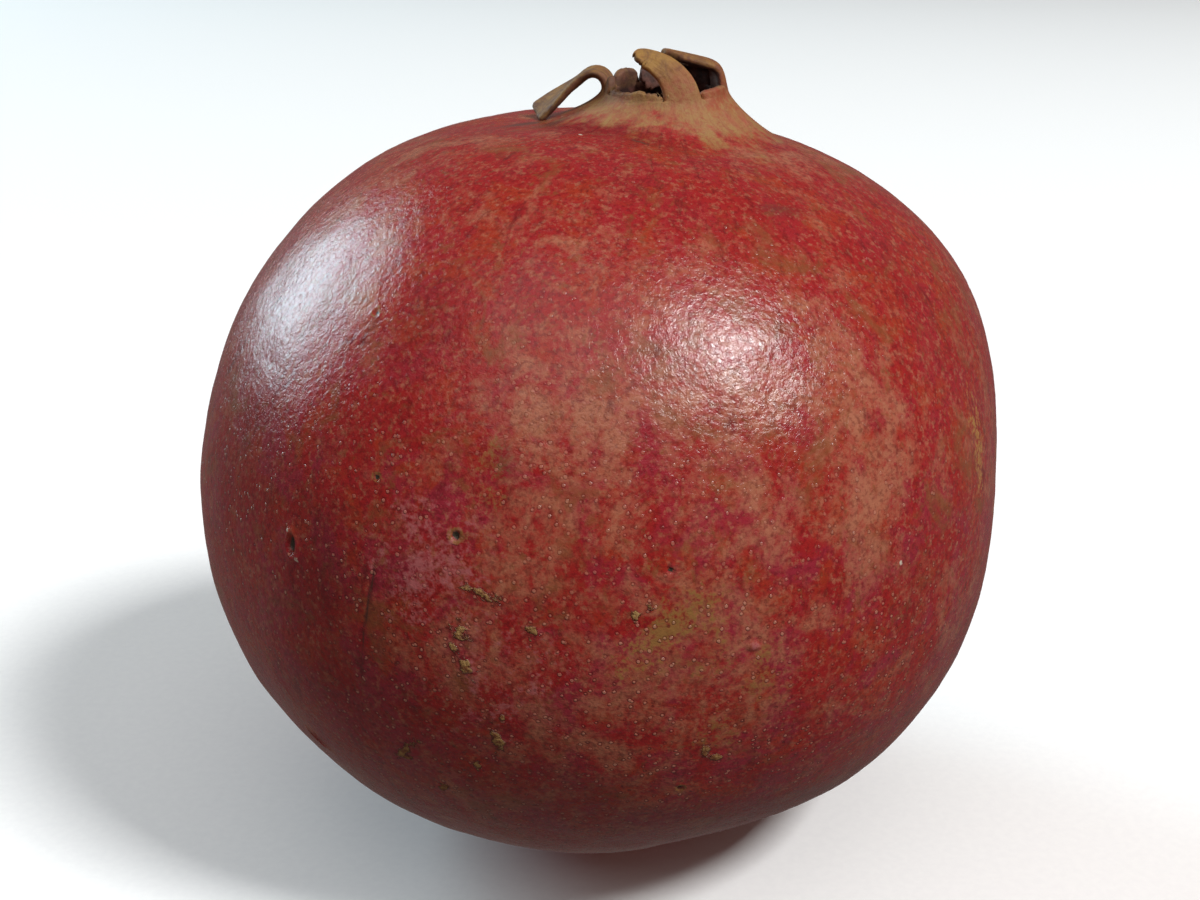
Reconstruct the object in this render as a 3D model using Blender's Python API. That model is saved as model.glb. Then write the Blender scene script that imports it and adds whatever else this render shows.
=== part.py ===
"""A whole pomegranate with its dried crown, lying loose on a flat surface.

Run it with: blender --background --python part.py

Units are metres and +Z is up. The origin is the centre of the small flat spot that the fruit rests on. The torn
side of the crown faces -Y, and the fruit's own axis, from its stem scar to its crown, leans towards +X.

The whole fruit is one skin without a seam. It starts as a UV sphere whose rings are drawn over the body, up the
neck, out along the calyx lobes, round their edges, and back down inside the cup to the middle of its floor.
"""

import math
from dataclasses import dataclass

import bmesh
import bpy
import numpy as np
from mathutils import Matrix

MM = 0.001

# Body
EQUATOR_RADIUS = 46.0 * MM
TOP_FLATTENING = 0.065  # share of the radius lost at the crown end
TOP_REACH = math.radians(30)
BASE_FLATTENING = 0.1  # share of the radius lost at the stem end
BASE_REACH = math.radians(45)
FRUIT_LEAN = math.radians(9)  # the crown leans towards +X
BODY_CENTRE = (-0.2 * MM, 0.0 * MM, 42.15 * MM)  # from the middle of the flat spot
FLAT_SPOT_BLEND = 0.05 * MM  # depth over which the skin turns into the flat spot

# Stem scar at the lower end of the axis
SCAR_RADIUS = 2.6 * MM
SCAR_DEPTH = 0.9 * MM

# Neck and calyx cup
FOOT_POLAR = math.radians(17.5)  # where the body ends and the neck begins
FOOT_PULL = 4.5 * MM  # how firmly the neck keeps the body's slope
RIM_PULL = 4.5 * MM  # how firmly it takes the rim's slope
RIM_HEIGHT = 45.6 * MM  # from the body's centre, along the axis
RIM_RADIUS = 7.1 * MM
REAR_RIM_RISE = 1.0 * MM  # of the side that isn't torn
REAR_RIM = math.radians(75)
RIM_SLOPE = math.radians(14)  # how far the wall leans inwards at the rim
CROWN_UPRIGHT = math.radians(8)  # the crown stands up from the leaning axis
WALL = 1.1 * MM
LOBE_THINNING = 0.35  # share of the wall's thickness that a lobe loses
THINNED_BY = 2.5 * MM  # height at which it has lost it
EDGE_POWER = 8  # how blunt the sides of a lobe are
LIP_ROUNDING = 0.35  # height of a lobe's rounded end as a share of its thickness
CUP_DEPTH = 7.5 * MM
CUP_FLOOR_RADIUS = 5.0 * MM
CUP_FLOOR_RISE = 0.3 * MM

# What is left of the flower in the cup
STAMEN_RING_RADIUS = 3.2 * MM
STAMEN_RING_THICKNESS = 0.9 * MM
STAMEN_FRILLS = 11
STAMEN_FRILL_HEIGHT = 0.6 * MM
STYLE_BASE_RADIUS = 0.8 * MM
STYLE_TIP_RADIUS = 0.5 * MM
STYLE_HEIGHT = 2.8 * MM
STYLE_LEAN = math.radians(12)
CLEARANCE = 0.3 * MM  # between pieces that touch

# Mesh
ROWS = {"body": 24, "neck": 6, "lobe": 9, "lip": 2, "lining": 9, "wall": 3, "floor": 2}
CURL_STATIONS = 120
BASE_ROW_POWER = 1.25  # above 1 the rows stand closer together near the stem end
LOBE_ROW_POWER = 1.3  # above 1 the rows stand closer together near the rim
SEWING_DISTANCE = 1e-7


@dataclass(frozen=True)
class Lump:
    """A soft rise or hollow of the body, centred on one direction."""

    azimuth: float  # degrees, counter-clockwise from +X
    polar: float  # degrees from the crown end of the axis
    rise: float  # mm, negative for a hollow
    spread: float  # degrees


@dataclass(frozen=True)
class Ridge:
    """A soft ridge that runs down the body like a meridian."""

    azimuth: float  # degrees
    rise: float  # mm
    spread: float  # degrees


@dataclass(frozen=True)
class Lobe:
    """One calyx lobe of the crown, or what is left of it. Angles are in degrees, lengths in mm."""

    azimuth: float  # of its middle
    half_width: float  # of its base, as an angle about the crown
    length: float  # from the rim to its tip
    columns: int = 8  # of the mesh, across it
    taper: float = 0.4  # share of its width lost at the tip
    taper_power: float = 1.0  # 1 narrows evenly, more keeps the width and then narrows
    slant: float = 0.0  # side that it narrows towards, from -1 to 1
    blunt: float = 0.25  # share of its length by which its sides are shorter
    turn: float = 0.0  # that it curls outwards, negative for inwards
    turns_from: float = 0.0  # share of its length where it begins to curl
    turned_by: float = 1.0  # share of its length where it has curled
    sway: float = 0.0  # that it swings sideways
    roll: float = 0.0  # that it has turned about its own length where it has curled
    twist: float = 0.0  # that it turns about its own length from there to its tip


LUMPS = (
    Lump(0, 48, 2.3, 24),
    Lump(0, 18, 0.6, 14),
    Lump(0, 78, -1.3, 20),
    Lump(0, 106, 0.9, 20),
    Lump(0, 150, -1.2, 20),
    Lump(0, 171, 1.9, 20),
    Lump(308, 138, -1.4, 17),
    Lump(180, 20, -1.3, 16),
    Lump(180, 46, -0.1, 20),
    Lump(180, 128, 1.5, 24),
)
RIDGES = (
    Ridge(237, 0.7, 16),
    Ridge(300, 0.3, 20),
    Ridge(358, 0.3, 18),
    Ridge(55, 0.6, 18),
    Ridge(112, 0.4, 18),
    Ridge(172, 0.3, 18),
)
# The lobes go once round the crown, counter-clockwise seen from above.
LOBES = (
    Lobe(1.25, 29.75, 9.9, 15, taper=0.6, turn=-68, turns_from=0.12, turned_by=0.5),
    Lobe(53, 22, 3.3, 9, taper=0.2, blunt=0.12, turn=-30),
    Lobe(95.5, 20.5, 5.4, 9, taper=0.5, turn=-150, turns_from=0.05, turned_by=0.75, sway=30),
    Lobe(134.5, 18.5, 1.2, 9, taper=0.2, blunt=0.2),
    Lobe(172.5, 19.5, 9.7, 11, taper=0.3, blunt=0.15, turn=143, turned_by=0.3, roll=-14, twist=40),
    Lobe(229.25, 37.25, 0.3, 13, taper=0, blunt=0),
    Lobe(285.5, 19, 8.7, 11, taper=0.85, taper_power=0.85, slant=-0.6, turn=-44, sway=-64),
    Lobe(318, 13.5, 1.6, 7, taper=0.3, blunt=0.45),
)


def turning(angle, axis):
    """The 3x3 matrix that turns by an angle about X, Y or Z."""
    return np.array(Matrix.Rotation(angle, 3, axis))


def radial(azimuth):
    """Unit vectors that point away from the axis at these azimuths."""
    return np.stack([np.cos(azimuth), np.sin(azimuth), np.zeros_like(azimuth)], -1)


def angle_between(azimuth, other):
    """The signed difference between azimuths, from -pi to pi."""
    return (azimuth - other + math.pi) % (2 * math.pi) - math.pi


def smooth(x):
    """A step from 0 to 1 with a soft start and end."""
    x = np.clip(x, 0.0, 1.0)
    return x * x * (3 - 2 * x)


# ---- the body ------------------------------------------------------------------------------------------------


def body_radius(azimuth, polar):
    """Distance of the skin from the body's centre."""
    from_base = math.pi - polar
    radius = EQUATOR_RADIUS * (
        1
        - TOP_FLATTENING * np.exp(-((polar / TOP_REACH) ** 2))
        - BASE_FLATTENING * np.exp(-((from_base / BASE_REACH) ** 2))
    )
    for ridge in RIDGES:
        off = angle_between(azimuth, math.radians(ridge.azimuth)) / math.radians(ridge.spread)
        radius = radius + ridge.rise * MM * np.exp(-(off**2)) * np.sin(polar) ** 2
    for lump in LUMPS:
        centre = math.radians(lump.polar)
        swing = angle_between(azimuth, math.radians(lump.azimuth))
        cosine = math.cos(centre) * np.cos(polar) + math.sin(centre) * np.sin(polar) * np.cos(swing)
        off = np.arccos(np.clip(cosine, -1, 1)) / math.radians(lump.spread)
        radius = radius + lump.rise * MM * np.exp(-(off**2))
    scar = SCAR_DEPTH * smooth(1.5 - radius * np.sin(from_base) / SCAR_RADIUS)
    return np.where(from_base < math.pi / 2, radius - scar, radius)


def body_points(azimuth, polar):
    """Points of the body's skin, in the fruit's own frame."""
    radius = body_radius(azimuth, polar)[:, None]
    return radius * (math.sin(polar) * radial(azimuth) + [0, 0, math.cos(polar)])


# ---- the neck and the cup ------------------------------------------------------------------------------------

UPRIGHT = turning(-CROWN_UPRIGHT, "Y")
RIM_CENTRE = np.array([0, 0, RIM_HEIGHT])


def crown_points(points):
    """Points given from the rim's centre, brought into the fruit's frame."""
    return points @ UPRIGHT.T + RIM_CENTRE


def wall_direction(azimuth):
    """The way up the calyx wall at the rim, from the rim's centre."""
    return -math.sin(RIM_SLOPE) * radial(azimuth) + [0, 0, math.cos(RIM_SLOPE)]


def wall_normal(azimuth):
    """The way out of the calyx wall at the rim."""
    return math.cos(RIM_SLOPE) * radial(azimuth) + [0, 0, math.sin(RIM_SLOPE)]


def rim_points(azimuth):
    """The outer edge of the calyx wall where the lobes begin, from the rim's centre."""
    rise = REAR_RIM_RISE * (1 + np.cos(azimuth - REAR_RIM)) / 2
    return RIM_RADIUS * radial(azimuth) + rise[:, None] * wall_direction(azimuth)


def hermite(start, start_slope, end, end_slope, t):
    """A point at t on the curve that leaves start and reaches end with these slopes."""
    return (
        (2 * t**3 - 3 * t**2 + 1) * start
        + (t**3 - 2 * t**2 + t) * start_slope
        + (3 * t**2 - 2 * t**3) * end
        + (t**3 - t**2) * end_slope
    )


def neck_points(azimuth, t):
    """The outside of the neck, from the body at t = 0 to the rim at t = 1."""
    step = math.radians(1)
    foot = body_points(azimuth, FOOT_POLAR)
    slope = body_points(azimuth, FOOT_POLAR - step) - body_points(azimuth, FOOT_POLAR + step)
    slope /= np.linalg.norm(slope, axis=1)[:, None]
    rim = crown_points(rim_points(azimuth))
    return hermite(foot, FOOT_PULL * slope, rim, RIM_PULL * wall_direction(azimuth) @ UPRIGHT.T, t)


def cup_wall_points(azimuth, t):
    """The inside of the cup, from the rim at t = 0 to the edge of its floor at t = 1."""
    rim = rim_points(azimuth) - WALL * wall_normal(azimuth)
    floor = CUP_FLOOR_RADIUS * radial(azimuth) - [0, 0, CUP_DEPTH]
    down = -CUP_DEPTH * wall_direction(azimuth)
    inwards = -2 * CUP_FLOOR_RADIUS * radial(azimuth)
    return crown_points(hermite(rim, down, floor, inwards, t))


def cup_floor_points(azimuth, t):
    """The floor of the cup, from its edge at t = 0 to its middle at t = 1."""
    rise = CUP_FLOOR_RISE * math.sin(math.pi / 2 * t)
    return crown_points(CUP_FLOOR_RADIUS * (1 - t) * radial(azimuth) + [0, 0, rise - CUP_DEPTH])


# ---- the calyx lobes -----------------------------------------------------------------------------------------


def lobe_curl(lobe):
    """Heights along the lobe, and the middle line and the 3x3 turn at each."""
    height = np.linspace(0, lobe.length * MM, CURL_STATIONS)
    middle = np.array([math.radians(lobe.azimuth)])
    out, up = wall_normal(middle)[0], wall_direction(middle)[0]
    base = np.column_stack([np.cross(up, out), out, up])
    turns = []
    for share in height / height[-1]:
        curled = smooth((share - lobe.turns_from) / (lobe.turned_by - lobe.turns_from))
        twisted = smooth((share - lobe.turned_by) / max(1 - lobe.turned_by, 0.01))
        local = (
            turning(-math.radians(lobe.turn * curled), "X")
            @ turning(math.radians(lobe.sway * share), "Y")
            @ turning(math.radians(lobe.roll * curled + lobe.twist * twisted), "Z")
        )
        turns.append(base @ local @ base.T)
    turns = np.array(turns)
    step = height[1] - height[0]
    line = np.cumsum(turns @ up * step, axis=0) - turns[0] @ up * step
    return height, rim_points(middle)[0] + line, turns


CURLS = [lobe_curl(lobe) for lobe in LOBES]


def lobe_points(number, across, share, side, over):
    """Points on one lobe, in the fruit's frame.

    across is their place from -1 to 1 over its width, share how far they lie from the rim (0) to its end (1),
    side is -1 on its outer face and 1 on its inner face, and over how far they stand past its end, as a share
    of the end's rounding.
    """
    lobe, (heights, line, turns) = LOBES[number], CURLS[number]
    at = share**LOBE_ROW_POWER * heights[-1] * (1 - lobe.blunt * np.abs(across) ** 3)
    middle = np.stack([np.interp(at, heights, line[:, i]) for i in range(3)], -1)
    turn = np.stack([np.interp(at, heights, turns[:, i // 3, i % 3]) for i in range(9)], -1)
    lost = lobe.taper * (at / heights[-1]) ** lobe.taper_power
    place = across * (1 - lost) + lobe.slant * lost
    around = math.radians(lobe.azimuth) + math.radians(lobe.half_width) * place
    # The rim keeps its full thickness. Above it a lobe's faces meet along its sides.
    full = np.sqrt(1 - np.abs(across) ** EDGE_POWER) if share > 0 else 1
    thick = WALL * (1 - LOBE_THINNING * smooth(at / THINNED_BY))
    inset = thick * (1 + side * full) / 2
    beyond = LIP_ROUNDING * thick * full * over
    offset = rim_points(around) - rim_points(np.array([math.radians(lobe.azimuth)]))
    offset += beyond[:, None] * wall_direction(around) - inset[:, None] * wall_normal(around)
    return crown_points(middle + np.einsum("nij,nj->ni", turn.reshape(-1, 3, 3), offset))


# ---- the whole skin ------------------------------------------------------------------------------------------

OWNERS = np.concatenate([np.full(lobe.columns, number) for number, lobe in enumerate(LOBES)])
# The columns of the mesh stand closer together near the sides of a lobe.
ACROSS = np.concatenate([np.sin(np.linspace(-math.pi / 2, math.pi / 2, lobe.columns)) for lobe in LOBES])
RIM_AZIMUTHS = np.radians(
    [LOBES[owner].azimuth + LOBES[owner].half_width * x for owner, x in zip(OWNERS, ACROSS, strict=True)]
)
EVEN = np.linspace(0, 2 * math.pi, len(OWNERS), endpoint=False)
BODY_AZIMUTHS = EVEN + np.mean(RIM_AZIMUTHS - EVEN)


def all_lobe_points(share, side, over):
    """One ring of points over all the lobes."""
    return np.concatenate(
        [lobe_points(number, ACROSS[OWNERS == number], share, side, over) for number in range(len(LOBES))]
    )


def row_points(stage, t):
    """One ring of the skin. t runs from 0 to 1 through each stage."""
    if stage == "body":
        polar = math.pi + (FOOT_POLAR - math.pi) * t**BASE_ROW_POWER
        gather = smooth((math.pi / 2 - polar) / (math.pi / 2 - FOOT_POLAR))
        return body_points(BODY_AZIMUTHS + gather * (RIM_AZIMUTHS - BODY_AZIMUTHS), polar)
    if stage == "neck":
        return neck_points(RIM_AZIMUTHS, t)
    if stage == "lobe":
        return all_lobe_points(t, -1, 0)
    if stage == "lip":
        return all_lobe_points(1, -math.cos(math.pi * t), math.sin(math.pi * t))
    if stage == "lining":
        return all_lobe_points(1 - t, 1, 0)
    if stage == "wall":
        return cup_wall_points(RIM_AZIMUTHS, t)
    return cup_floor_points(RIM_AZIMUTHS, t)


def rings():
    """Every ring's stage and t, from the stem scar to the middle of the cup."""
    listed = [(stage, (i + 1) / count) for stage, count in ROWS.items() for i in range(count)]
    return [("body", 0.0), *listed]


def to_world(points):
    """From the fruit's own frame to the world, with the skin pressed flat where it rests."""
    world = points @ turning(FRUIT_LEAN, "Y").T + BODY_CENTRE
    height, blend = world[:, 2], FLAT_SPOT_BLEND
    soft = (height + blend) ** 2 / (4 * blend)
    world[:, 2] = np.where(height > blend, height, np.where(height > -blend, soft, 0))
    return world


def sew_lobes(skin, places):
    """Takes out the webs between the lobes, then joins each lobe's two faces along its sides.

    places gives each vertex its row and column.
    """
    first = sum(ROWS[stage] for stage in ("body", "neck"))
    last = first + sum(ROWS[stage] for stage in ("lobe", "lip", "lining"))
    ends = np.flatnonzero(np.diff(np.append(OWNERS, -1)))
    webs = []
    for face in skin.faces:
        rows = [places[vertex][0] for vertex in face.verts]
        columns = {places[vertex][1] for vertex in face.verts}
        between = any(columns == {end, (end + 1) % len(OWNERS)} for end in ends)
        if between and min(rows) >= first and max(rows) <= last:
            webs.append(face)
    bmesh.ops.delete(skin, geom=webs, context="FACES_ONLY")
    bmesh.ops.remove_doubles(skin, verts=skin.verts, dist=SEWING_DISTANCE)
    loose = [edge for edge in skin.edges if not edge.link_faces]
    bmesh.ops.delete(skin, geom=loose, context="EDGES")
    open_edges = [edge for edge in skin.edges if edge.is_boundary]
    bmesh.ops.holes_fill(skin, edges=open_edges, sides=0)


def fruit_mesh():
    """The fruit's skin, shaped from a UV sphere."""
    table = [to_world(row_points(stage, t)) for stage, t in rings()]
    top, columns = len(table) - 1, len(OWNERS)
    skin = bmesh.new()
    bmesh.ops.create_uvsphere(skin, u_segments=columns, v_segments=top, radius=1)
    places = {}
    for vertex in skin.verts:
        x, y, z = vertex.co
        row = round((1 - math.acos(max(-1, min(1, z))) / math.pi) * top)
        column = 0 if row in (0, top) else round(math.atan2(y, x) / (2 * math.pi) * columns) % columns
        places[vertex] = (row, column)
        vertex.co = table[row][column]
    sew_lobes(skin, places)
    bmesh.ops.triangulate(skin, faces=skin.faces, quad_method="SHORT_EDGE")
    bmesh.ops.recalc_face_normals(skin, faces=skin.faces)
    mesh = bpy.data.meshes.new("fruit")
    skin.to_mesh(mesh)
    skin.free()
    mesh.shade_smooth()
    return mesh


# ---- what is left of the flower ------------------------------------------------------------------------------


def stamen_mesh():
    """The ring of withered stamens, as one frilled solid that lies on the cup's floor."""
    ring = bmesh.new()
    bmesh.ops.create_circle(ring, segments=12, radius=STAMEN_RING_THICKNESS)
    bmesh.ops.rotate(ring, verts=ring.verts, matrix=Matrix.Rotation(math.pi / 2, 3, "X"))
    bmesh.ops.translate(ring, verts=ring.verts, vec=(STAMEN_RING_RADIUS, 0, STAMEN_RING_THICKNESS))
    bmesh.ops.spin(
        ring,
        geom=ring.edges[:] + ring.verts[:],
        cent=(0, 0, 0),
        axis=(0, 0, 1),
        angle=2 * math.pi,
        steps=4 * STAMEN_FRILLS,
        use_merge=True,
    )
    for vertex in ring.verts:
        around = math.atan2(vertex.co.y, vertex.co.x)
        lift = vertex.co.z / (2 * STAMEN_RING_THICKNESS)
        vertex.co.z += STAMEN_FRILL_HEIGHT * lift * math.sin(STAMEN_FRILLS * around)
    bmesh.ops.recalc_face_normals(ring, faces=ring.faces)
    mesh = bpy.data.meshes.new("stamens")
    ring.to_mesh(mesh)
    ring.free()
    mesh.shade_smooth()
    return mesh


def style_mesh():
    """The withered style, a short stalk."""
    stalk = bmesh.new()
    bmesh.ops.create_cone(
        stalk,
        cap_ends=True,
        segments=12,
        radius1=STYLE_BASE_RADIUS,
        radius2=STYLE_TIP_RADIUS,
        depth=STYLE_HEIGHT,
    )
    bmesh.ops.translate(stalk, verts=stalk.verts, vec=(0, 0, STYLE_HEIGHT / 2))
    mesh = bpy.data.meshes.new("style")
    stalk.to_mesh(mesh)
    stalk.free()
    mesh.shade_smooth()
    mesh.set_sharp_from_angle(angle=math.radians(40))
    return mesh


# ---- the object ----------------------------------------------------------------------------------------------


def material(name, colour, roughness):
    """A plain dielectric material."""
    made = bpy.data.materials.new(name)
    made.use_nodes = True
    shader = made.node_tree.nodes["Principled BSDF"]
    shader.inputs["Base Color"].default_value = (*colour, 1)
    shader.inputs["Roughness"].default_value = roughness
    shader.inputs["Metallic"].default_value = 0
    return made


def add(name, mesh, finish, matrix, collection):
    """Puts a mesh in the collection as one named object."""
    mesh.materials.append(finish)
    made = bpy.data.objects.new(name, mesh)
    made.matrix_world = matrix
    collection.objects.link(made)
    return made


def main():
    """Builds the pomegranate."""
    for old in list(bpy.data.objects):
        bpy.data.objects.remove(old)
    collection = bpy.data.collections.new("pomegranate")
    bpy.context.scene.collection.children.link(collection)

    rind = material("rind", (0.32, 0.03, 0.035), 0.35)
    dry_fibre = material("dry_fibre", (0.16, 0.09, 0.045), 0.8)
    add("fruit", fruit_mesh(), rind, Matrix.Identity(4), collection)

    body = Matrix.Translation(BODY_CENTRE) @ Matrix.Rotation(FRUIT_LEAN, 4, "Y")
    crown = body @ Matrix.Translation((0, 0, RIM_HEIGHT)) @ Matrix.Rotation(-CROWN_UPRIGHT, 4, "Y")
    cup_floor = crown @ Matrix.Translation((0, 0, CUP_FLOOR_RISE + CLEARANCE - CUP_DEPTH))
    add("stamens", stamen_mesh(), dry_fibre, cup_floor, collection)
    style = cup_floor @ Matrix.Rotation(STYLE_LEAN, 4, "X")
    add("style", style_mesh(), dry_fibre, style @ Matrix.Translation((0, 0, CLEARANCE)), collection)


main()
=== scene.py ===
"""A whole pomegranate with its dried crown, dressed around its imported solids.

Everything is in metres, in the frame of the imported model: +Z is up, the origin is the middle of the flat
spot that the fruit rests on, and the torn side of the crown faces -Y. The fruit's own axis, from its stem
scar to its crown, leans towards +X. Places on the fruit are given by their azimuth about that axis,
counter-clockwise from +X, and their polar angle from its crown end.
"""

from __future__ import annotations

import logging
import math
from collections.abc import Callable
from dataclasses import dataclass, field
from enum import Enum

import bmesh
import bpy
import numpy as np
from mathutils import Matrix, Quaternion, Vector, noise


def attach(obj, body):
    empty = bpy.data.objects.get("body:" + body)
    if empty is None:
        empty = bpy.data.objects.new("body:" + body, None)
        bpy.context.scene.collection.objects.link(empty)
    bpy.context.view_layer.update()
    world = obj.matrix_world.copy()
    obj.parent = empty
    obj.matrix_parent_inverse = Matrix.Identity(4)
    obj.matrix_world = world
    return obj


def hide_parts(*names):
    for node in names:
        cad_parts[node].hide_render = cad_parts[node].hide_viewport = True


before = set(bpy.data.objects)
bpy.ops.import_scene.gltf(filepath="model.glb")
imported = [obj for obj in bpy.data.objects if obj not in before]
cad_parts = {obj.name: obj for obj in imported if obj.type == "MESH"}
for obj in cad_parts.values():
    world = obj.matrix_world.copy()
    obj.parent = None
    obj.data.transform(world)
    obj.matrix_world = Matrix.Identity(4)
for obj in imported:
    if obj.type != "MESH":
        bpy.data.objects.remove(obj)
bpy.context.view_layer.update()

MM = 0.001
log = logging.getLogger("pomegranate")

Colour = tuple[float, float, float]
Socket = bpy.types.NodeSocket
Value = Socket | Colour | float


# ---- helpers -------------------------------------------------------------------------------------


def turning(angle: float, axis: str) -> np.ndarray:
    """The 3x3 turn by an angle in radians about the axis X, Y or Z."""
    return np.array(Matrix.Rotation(angle, 3, axis))


def radial(azimuth: np.ndarray) -> np.ndarray:
    """Unit vectors away from the axis at these azimuths, in radians."""
    return np.stack([np.cos(azimuth), np.sin(azimuth), np.zeros_like(azimuth)], -1)


def angle_between(first: np.ndarray, second: float) -> np.ndarray:
    """The turn from second to first, from -pi to pi."""
    return (first - second + math.pi) % (2 * math.pi) - math.pi


def smooth(value: np.ndarray | float) -> np.ndarray | float:
    """A soft step from 0 at 0 to 1 at 1."""
    held = np.clip(value, 0, 1)
    return held * held * (3 - 2 * held)


def waviness(points: np.ndarray, size: float, seed: int, octaves: int = 2) -> np.ndarray:
    """Smooth noise at points.

    Args:
        points: N x 3 places.
        size: Width of one wave, in the same unit as the points.
        seed: Picks one of many patterns.
        octaves: How many finer waves ride on the first.

    Returns:
        N values, most of them from -1 to 1.
    """
    shifted = points / size + 31.7 * seed
    return np.array([noise.fractal(Vector(place), 1.0, 2.0, octaves) for place in shifted])


def triangles(mesh: bpy.types.Mesh) -> int:
    """How many triangles the faces of a mesh come to."""
    return sum(len(face.vertices) - 2 for face in mesh.polygons)


def from_direction(azimuth: float, polar: float) -> np.ndarray:
    """The unit vector at an azimuth and a polar angle, in degrees."""
    turn, tilt = math.radians(azimuth), math.radians(polar)
    return np.array([math.sin(tilt) * math.cos(turn), math.sin(tilt) * math.sin(turn), math.cos(tilt)])


# ---- the shape of the fruit ----------------------------------------------------------------------


@dataclass(frozen=True)
class Lump:
    """A soft rise or hollow of the body, centred on one direction."""

    azimuth: float  # degrees
    polar: float  # degrees
    rise: float  # mm, negative for a hollow
    spread: float  # degrees


@dataclass(frozen=True)
class Ridge:
    """A soft ridge that runs down the body like a meridian."""

    azimuth: float  # degrees
    rise: float  # mm
    spread: float  # degrees


@dataclass(frozen=True)
class Body:
    """The round body of the fruit, in its own frame, with its middle at the origin and its axis along +Z."""

    equator_radius: float = 46.0 * MM
    top_flattening: float = 0.065
    top_reach: float = math.radians(30)
    base_flattening: float = 0.1
    base_reach: float = math.radians(45)
    scar_radius: float = 2.6 * MM
    scar_depth: float = 0.9 * MM
    lumps: tuple[Lump, ...] = (
        Lump(0, 48, 2.3, 24),
        Lump(0, 18, 0.6, 14),
        Lump(0, 78, -1.3, 20),
        Lump(0, 106, 0.9, 20),
        Lump(0, 150, -1.2, 20),
        Lump(0, 171, 1.9, 20),
        Lump(308, 138, -1.4, 17),
        Lump(180, 20, -1.3, 16),
        Lump(180, 46, -0.1, 20),
        Lump(180, 128, 1.5, 24),
    )
    ridges: tuple[Ridge, ...] = (
        Ridge(237, 0.7, 16),
        Ridge(300, 0.3, 20),
        Ridge(358, 0.3, 18),
        Ridge(55, 0.6, 18),
        Ridge(112, 0.4, 18),
        Ridge(172, 0.3, 18),
    )

    def radius(self, azimuth: np.ndarray, polar: np.ndarray) -> np.ndarray:
        """Distance of the skin from the body's middle.

        Args:
            azimuth: Angles about the axis, in radians.
            polar: Angles from the crown end of the axis, in radians.

        Returns:
            The distances, in metres.
        """
        from_base = math.pi - polar
        top = self.top_flattening * np.exp(-((polar / self.top_reach) ** 2))
        base = self.base_flattening * np.exp(-((from_base / self.base_reach) ** 2))
        radius = self.equator_radius * (1 - top - base)
        for ridge in self.ridges:
            off = angle_between(azimuth, math.radians(ridge.azimuth)) / math.radians(ridge.spread)
            radius = radius + ridge.rise * MM * np.exp(-(off**2)) * np.sin(polar) ** 2
        for lump in self.lumps:
            centre = math.radians(lump.polar)
            swing = angle_between(azimuth, math.radians(lump.azimuth))
            cosine = math.cos(centre) * np.cos(polar) + math.sin(centre) * np.sin(polar) * np.cos(swing)
            off = np.arccos(np.clip(cosine, -1, 1)) / math.radians(lump.spread)
            radius = radius + lump.rise * MM * np.exp(-(off**2))
        scar = self.scar_depth * smooth(1.5 - radius * np.sin(from_base) / self.scar_radius)
        return np.where(from_base < math.pi / 2, radius - scar, radius)

    def points(self, azimuth: np.ndarray, polar: float) -> np.ndarray:
        """Points of the smooth skin on one ring."""
        direction = math.sin(polar) * radial(azimuth) + [0, 0, math.cos(polar)]
        return self.radius(azimuth, np.full_like(azimuth, polar))[:, None] * direction


@dataclass(frozen=True)
class Lobe:
    """One calyx lobe of the crown, or what is left of it. Angles are in degrees, lengths in mm."""

    azimuth: float  # of its middle
    half_width: float  # of its base, as an angle about the crown
    length: float  # from the rim to its tip
    columns: int  # of the coarse mesh, across it
    taper: float = 0.4  # share of its width lost at the tip
    taper_power: float = 1.0  # 1 narrows evenly, more keeps the width and then narrows
    slant: float = 0.0  # side that it narrows towards, from -1 to 1
    blunt: float = 0.25  # share of its length by which its sides are shorter
    turn: float = 0.0  # that it curls outwards, negative for inwards
    turns_from: float = 0.0  # share of its length where it begins to curl
    turned_by: float = 1.0  # share of its length where it has curled
    sway: float = 0.0  # that it swings sideways
    roll: float = 0.0  # that it has turned about its own length where it has curled
    twist: float = 0.0  # that it turns about its own length from there to its tip
    hook: float = 0.0  # that its tip swings further sideways
    hooks_from: float = 0.8  # share of its length where the tip begins to do so
    thick: float = 1.0  # thickness, as a multiple of the others'
    ragged: float = 0.1  # how deep its end is notched, as a share of its length
    brown: float = 0.5  # how dry and brown it is, from 0 to 1
    blush: float = 0.0  # how red it still is, from 0 to 1
    faded: float = 0.0  # how much its inner face looks like its outer one, from 0 to 1
    dusky: float = 0.0  # how much its outer face looks like the lining, from 0 to 1


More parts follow.
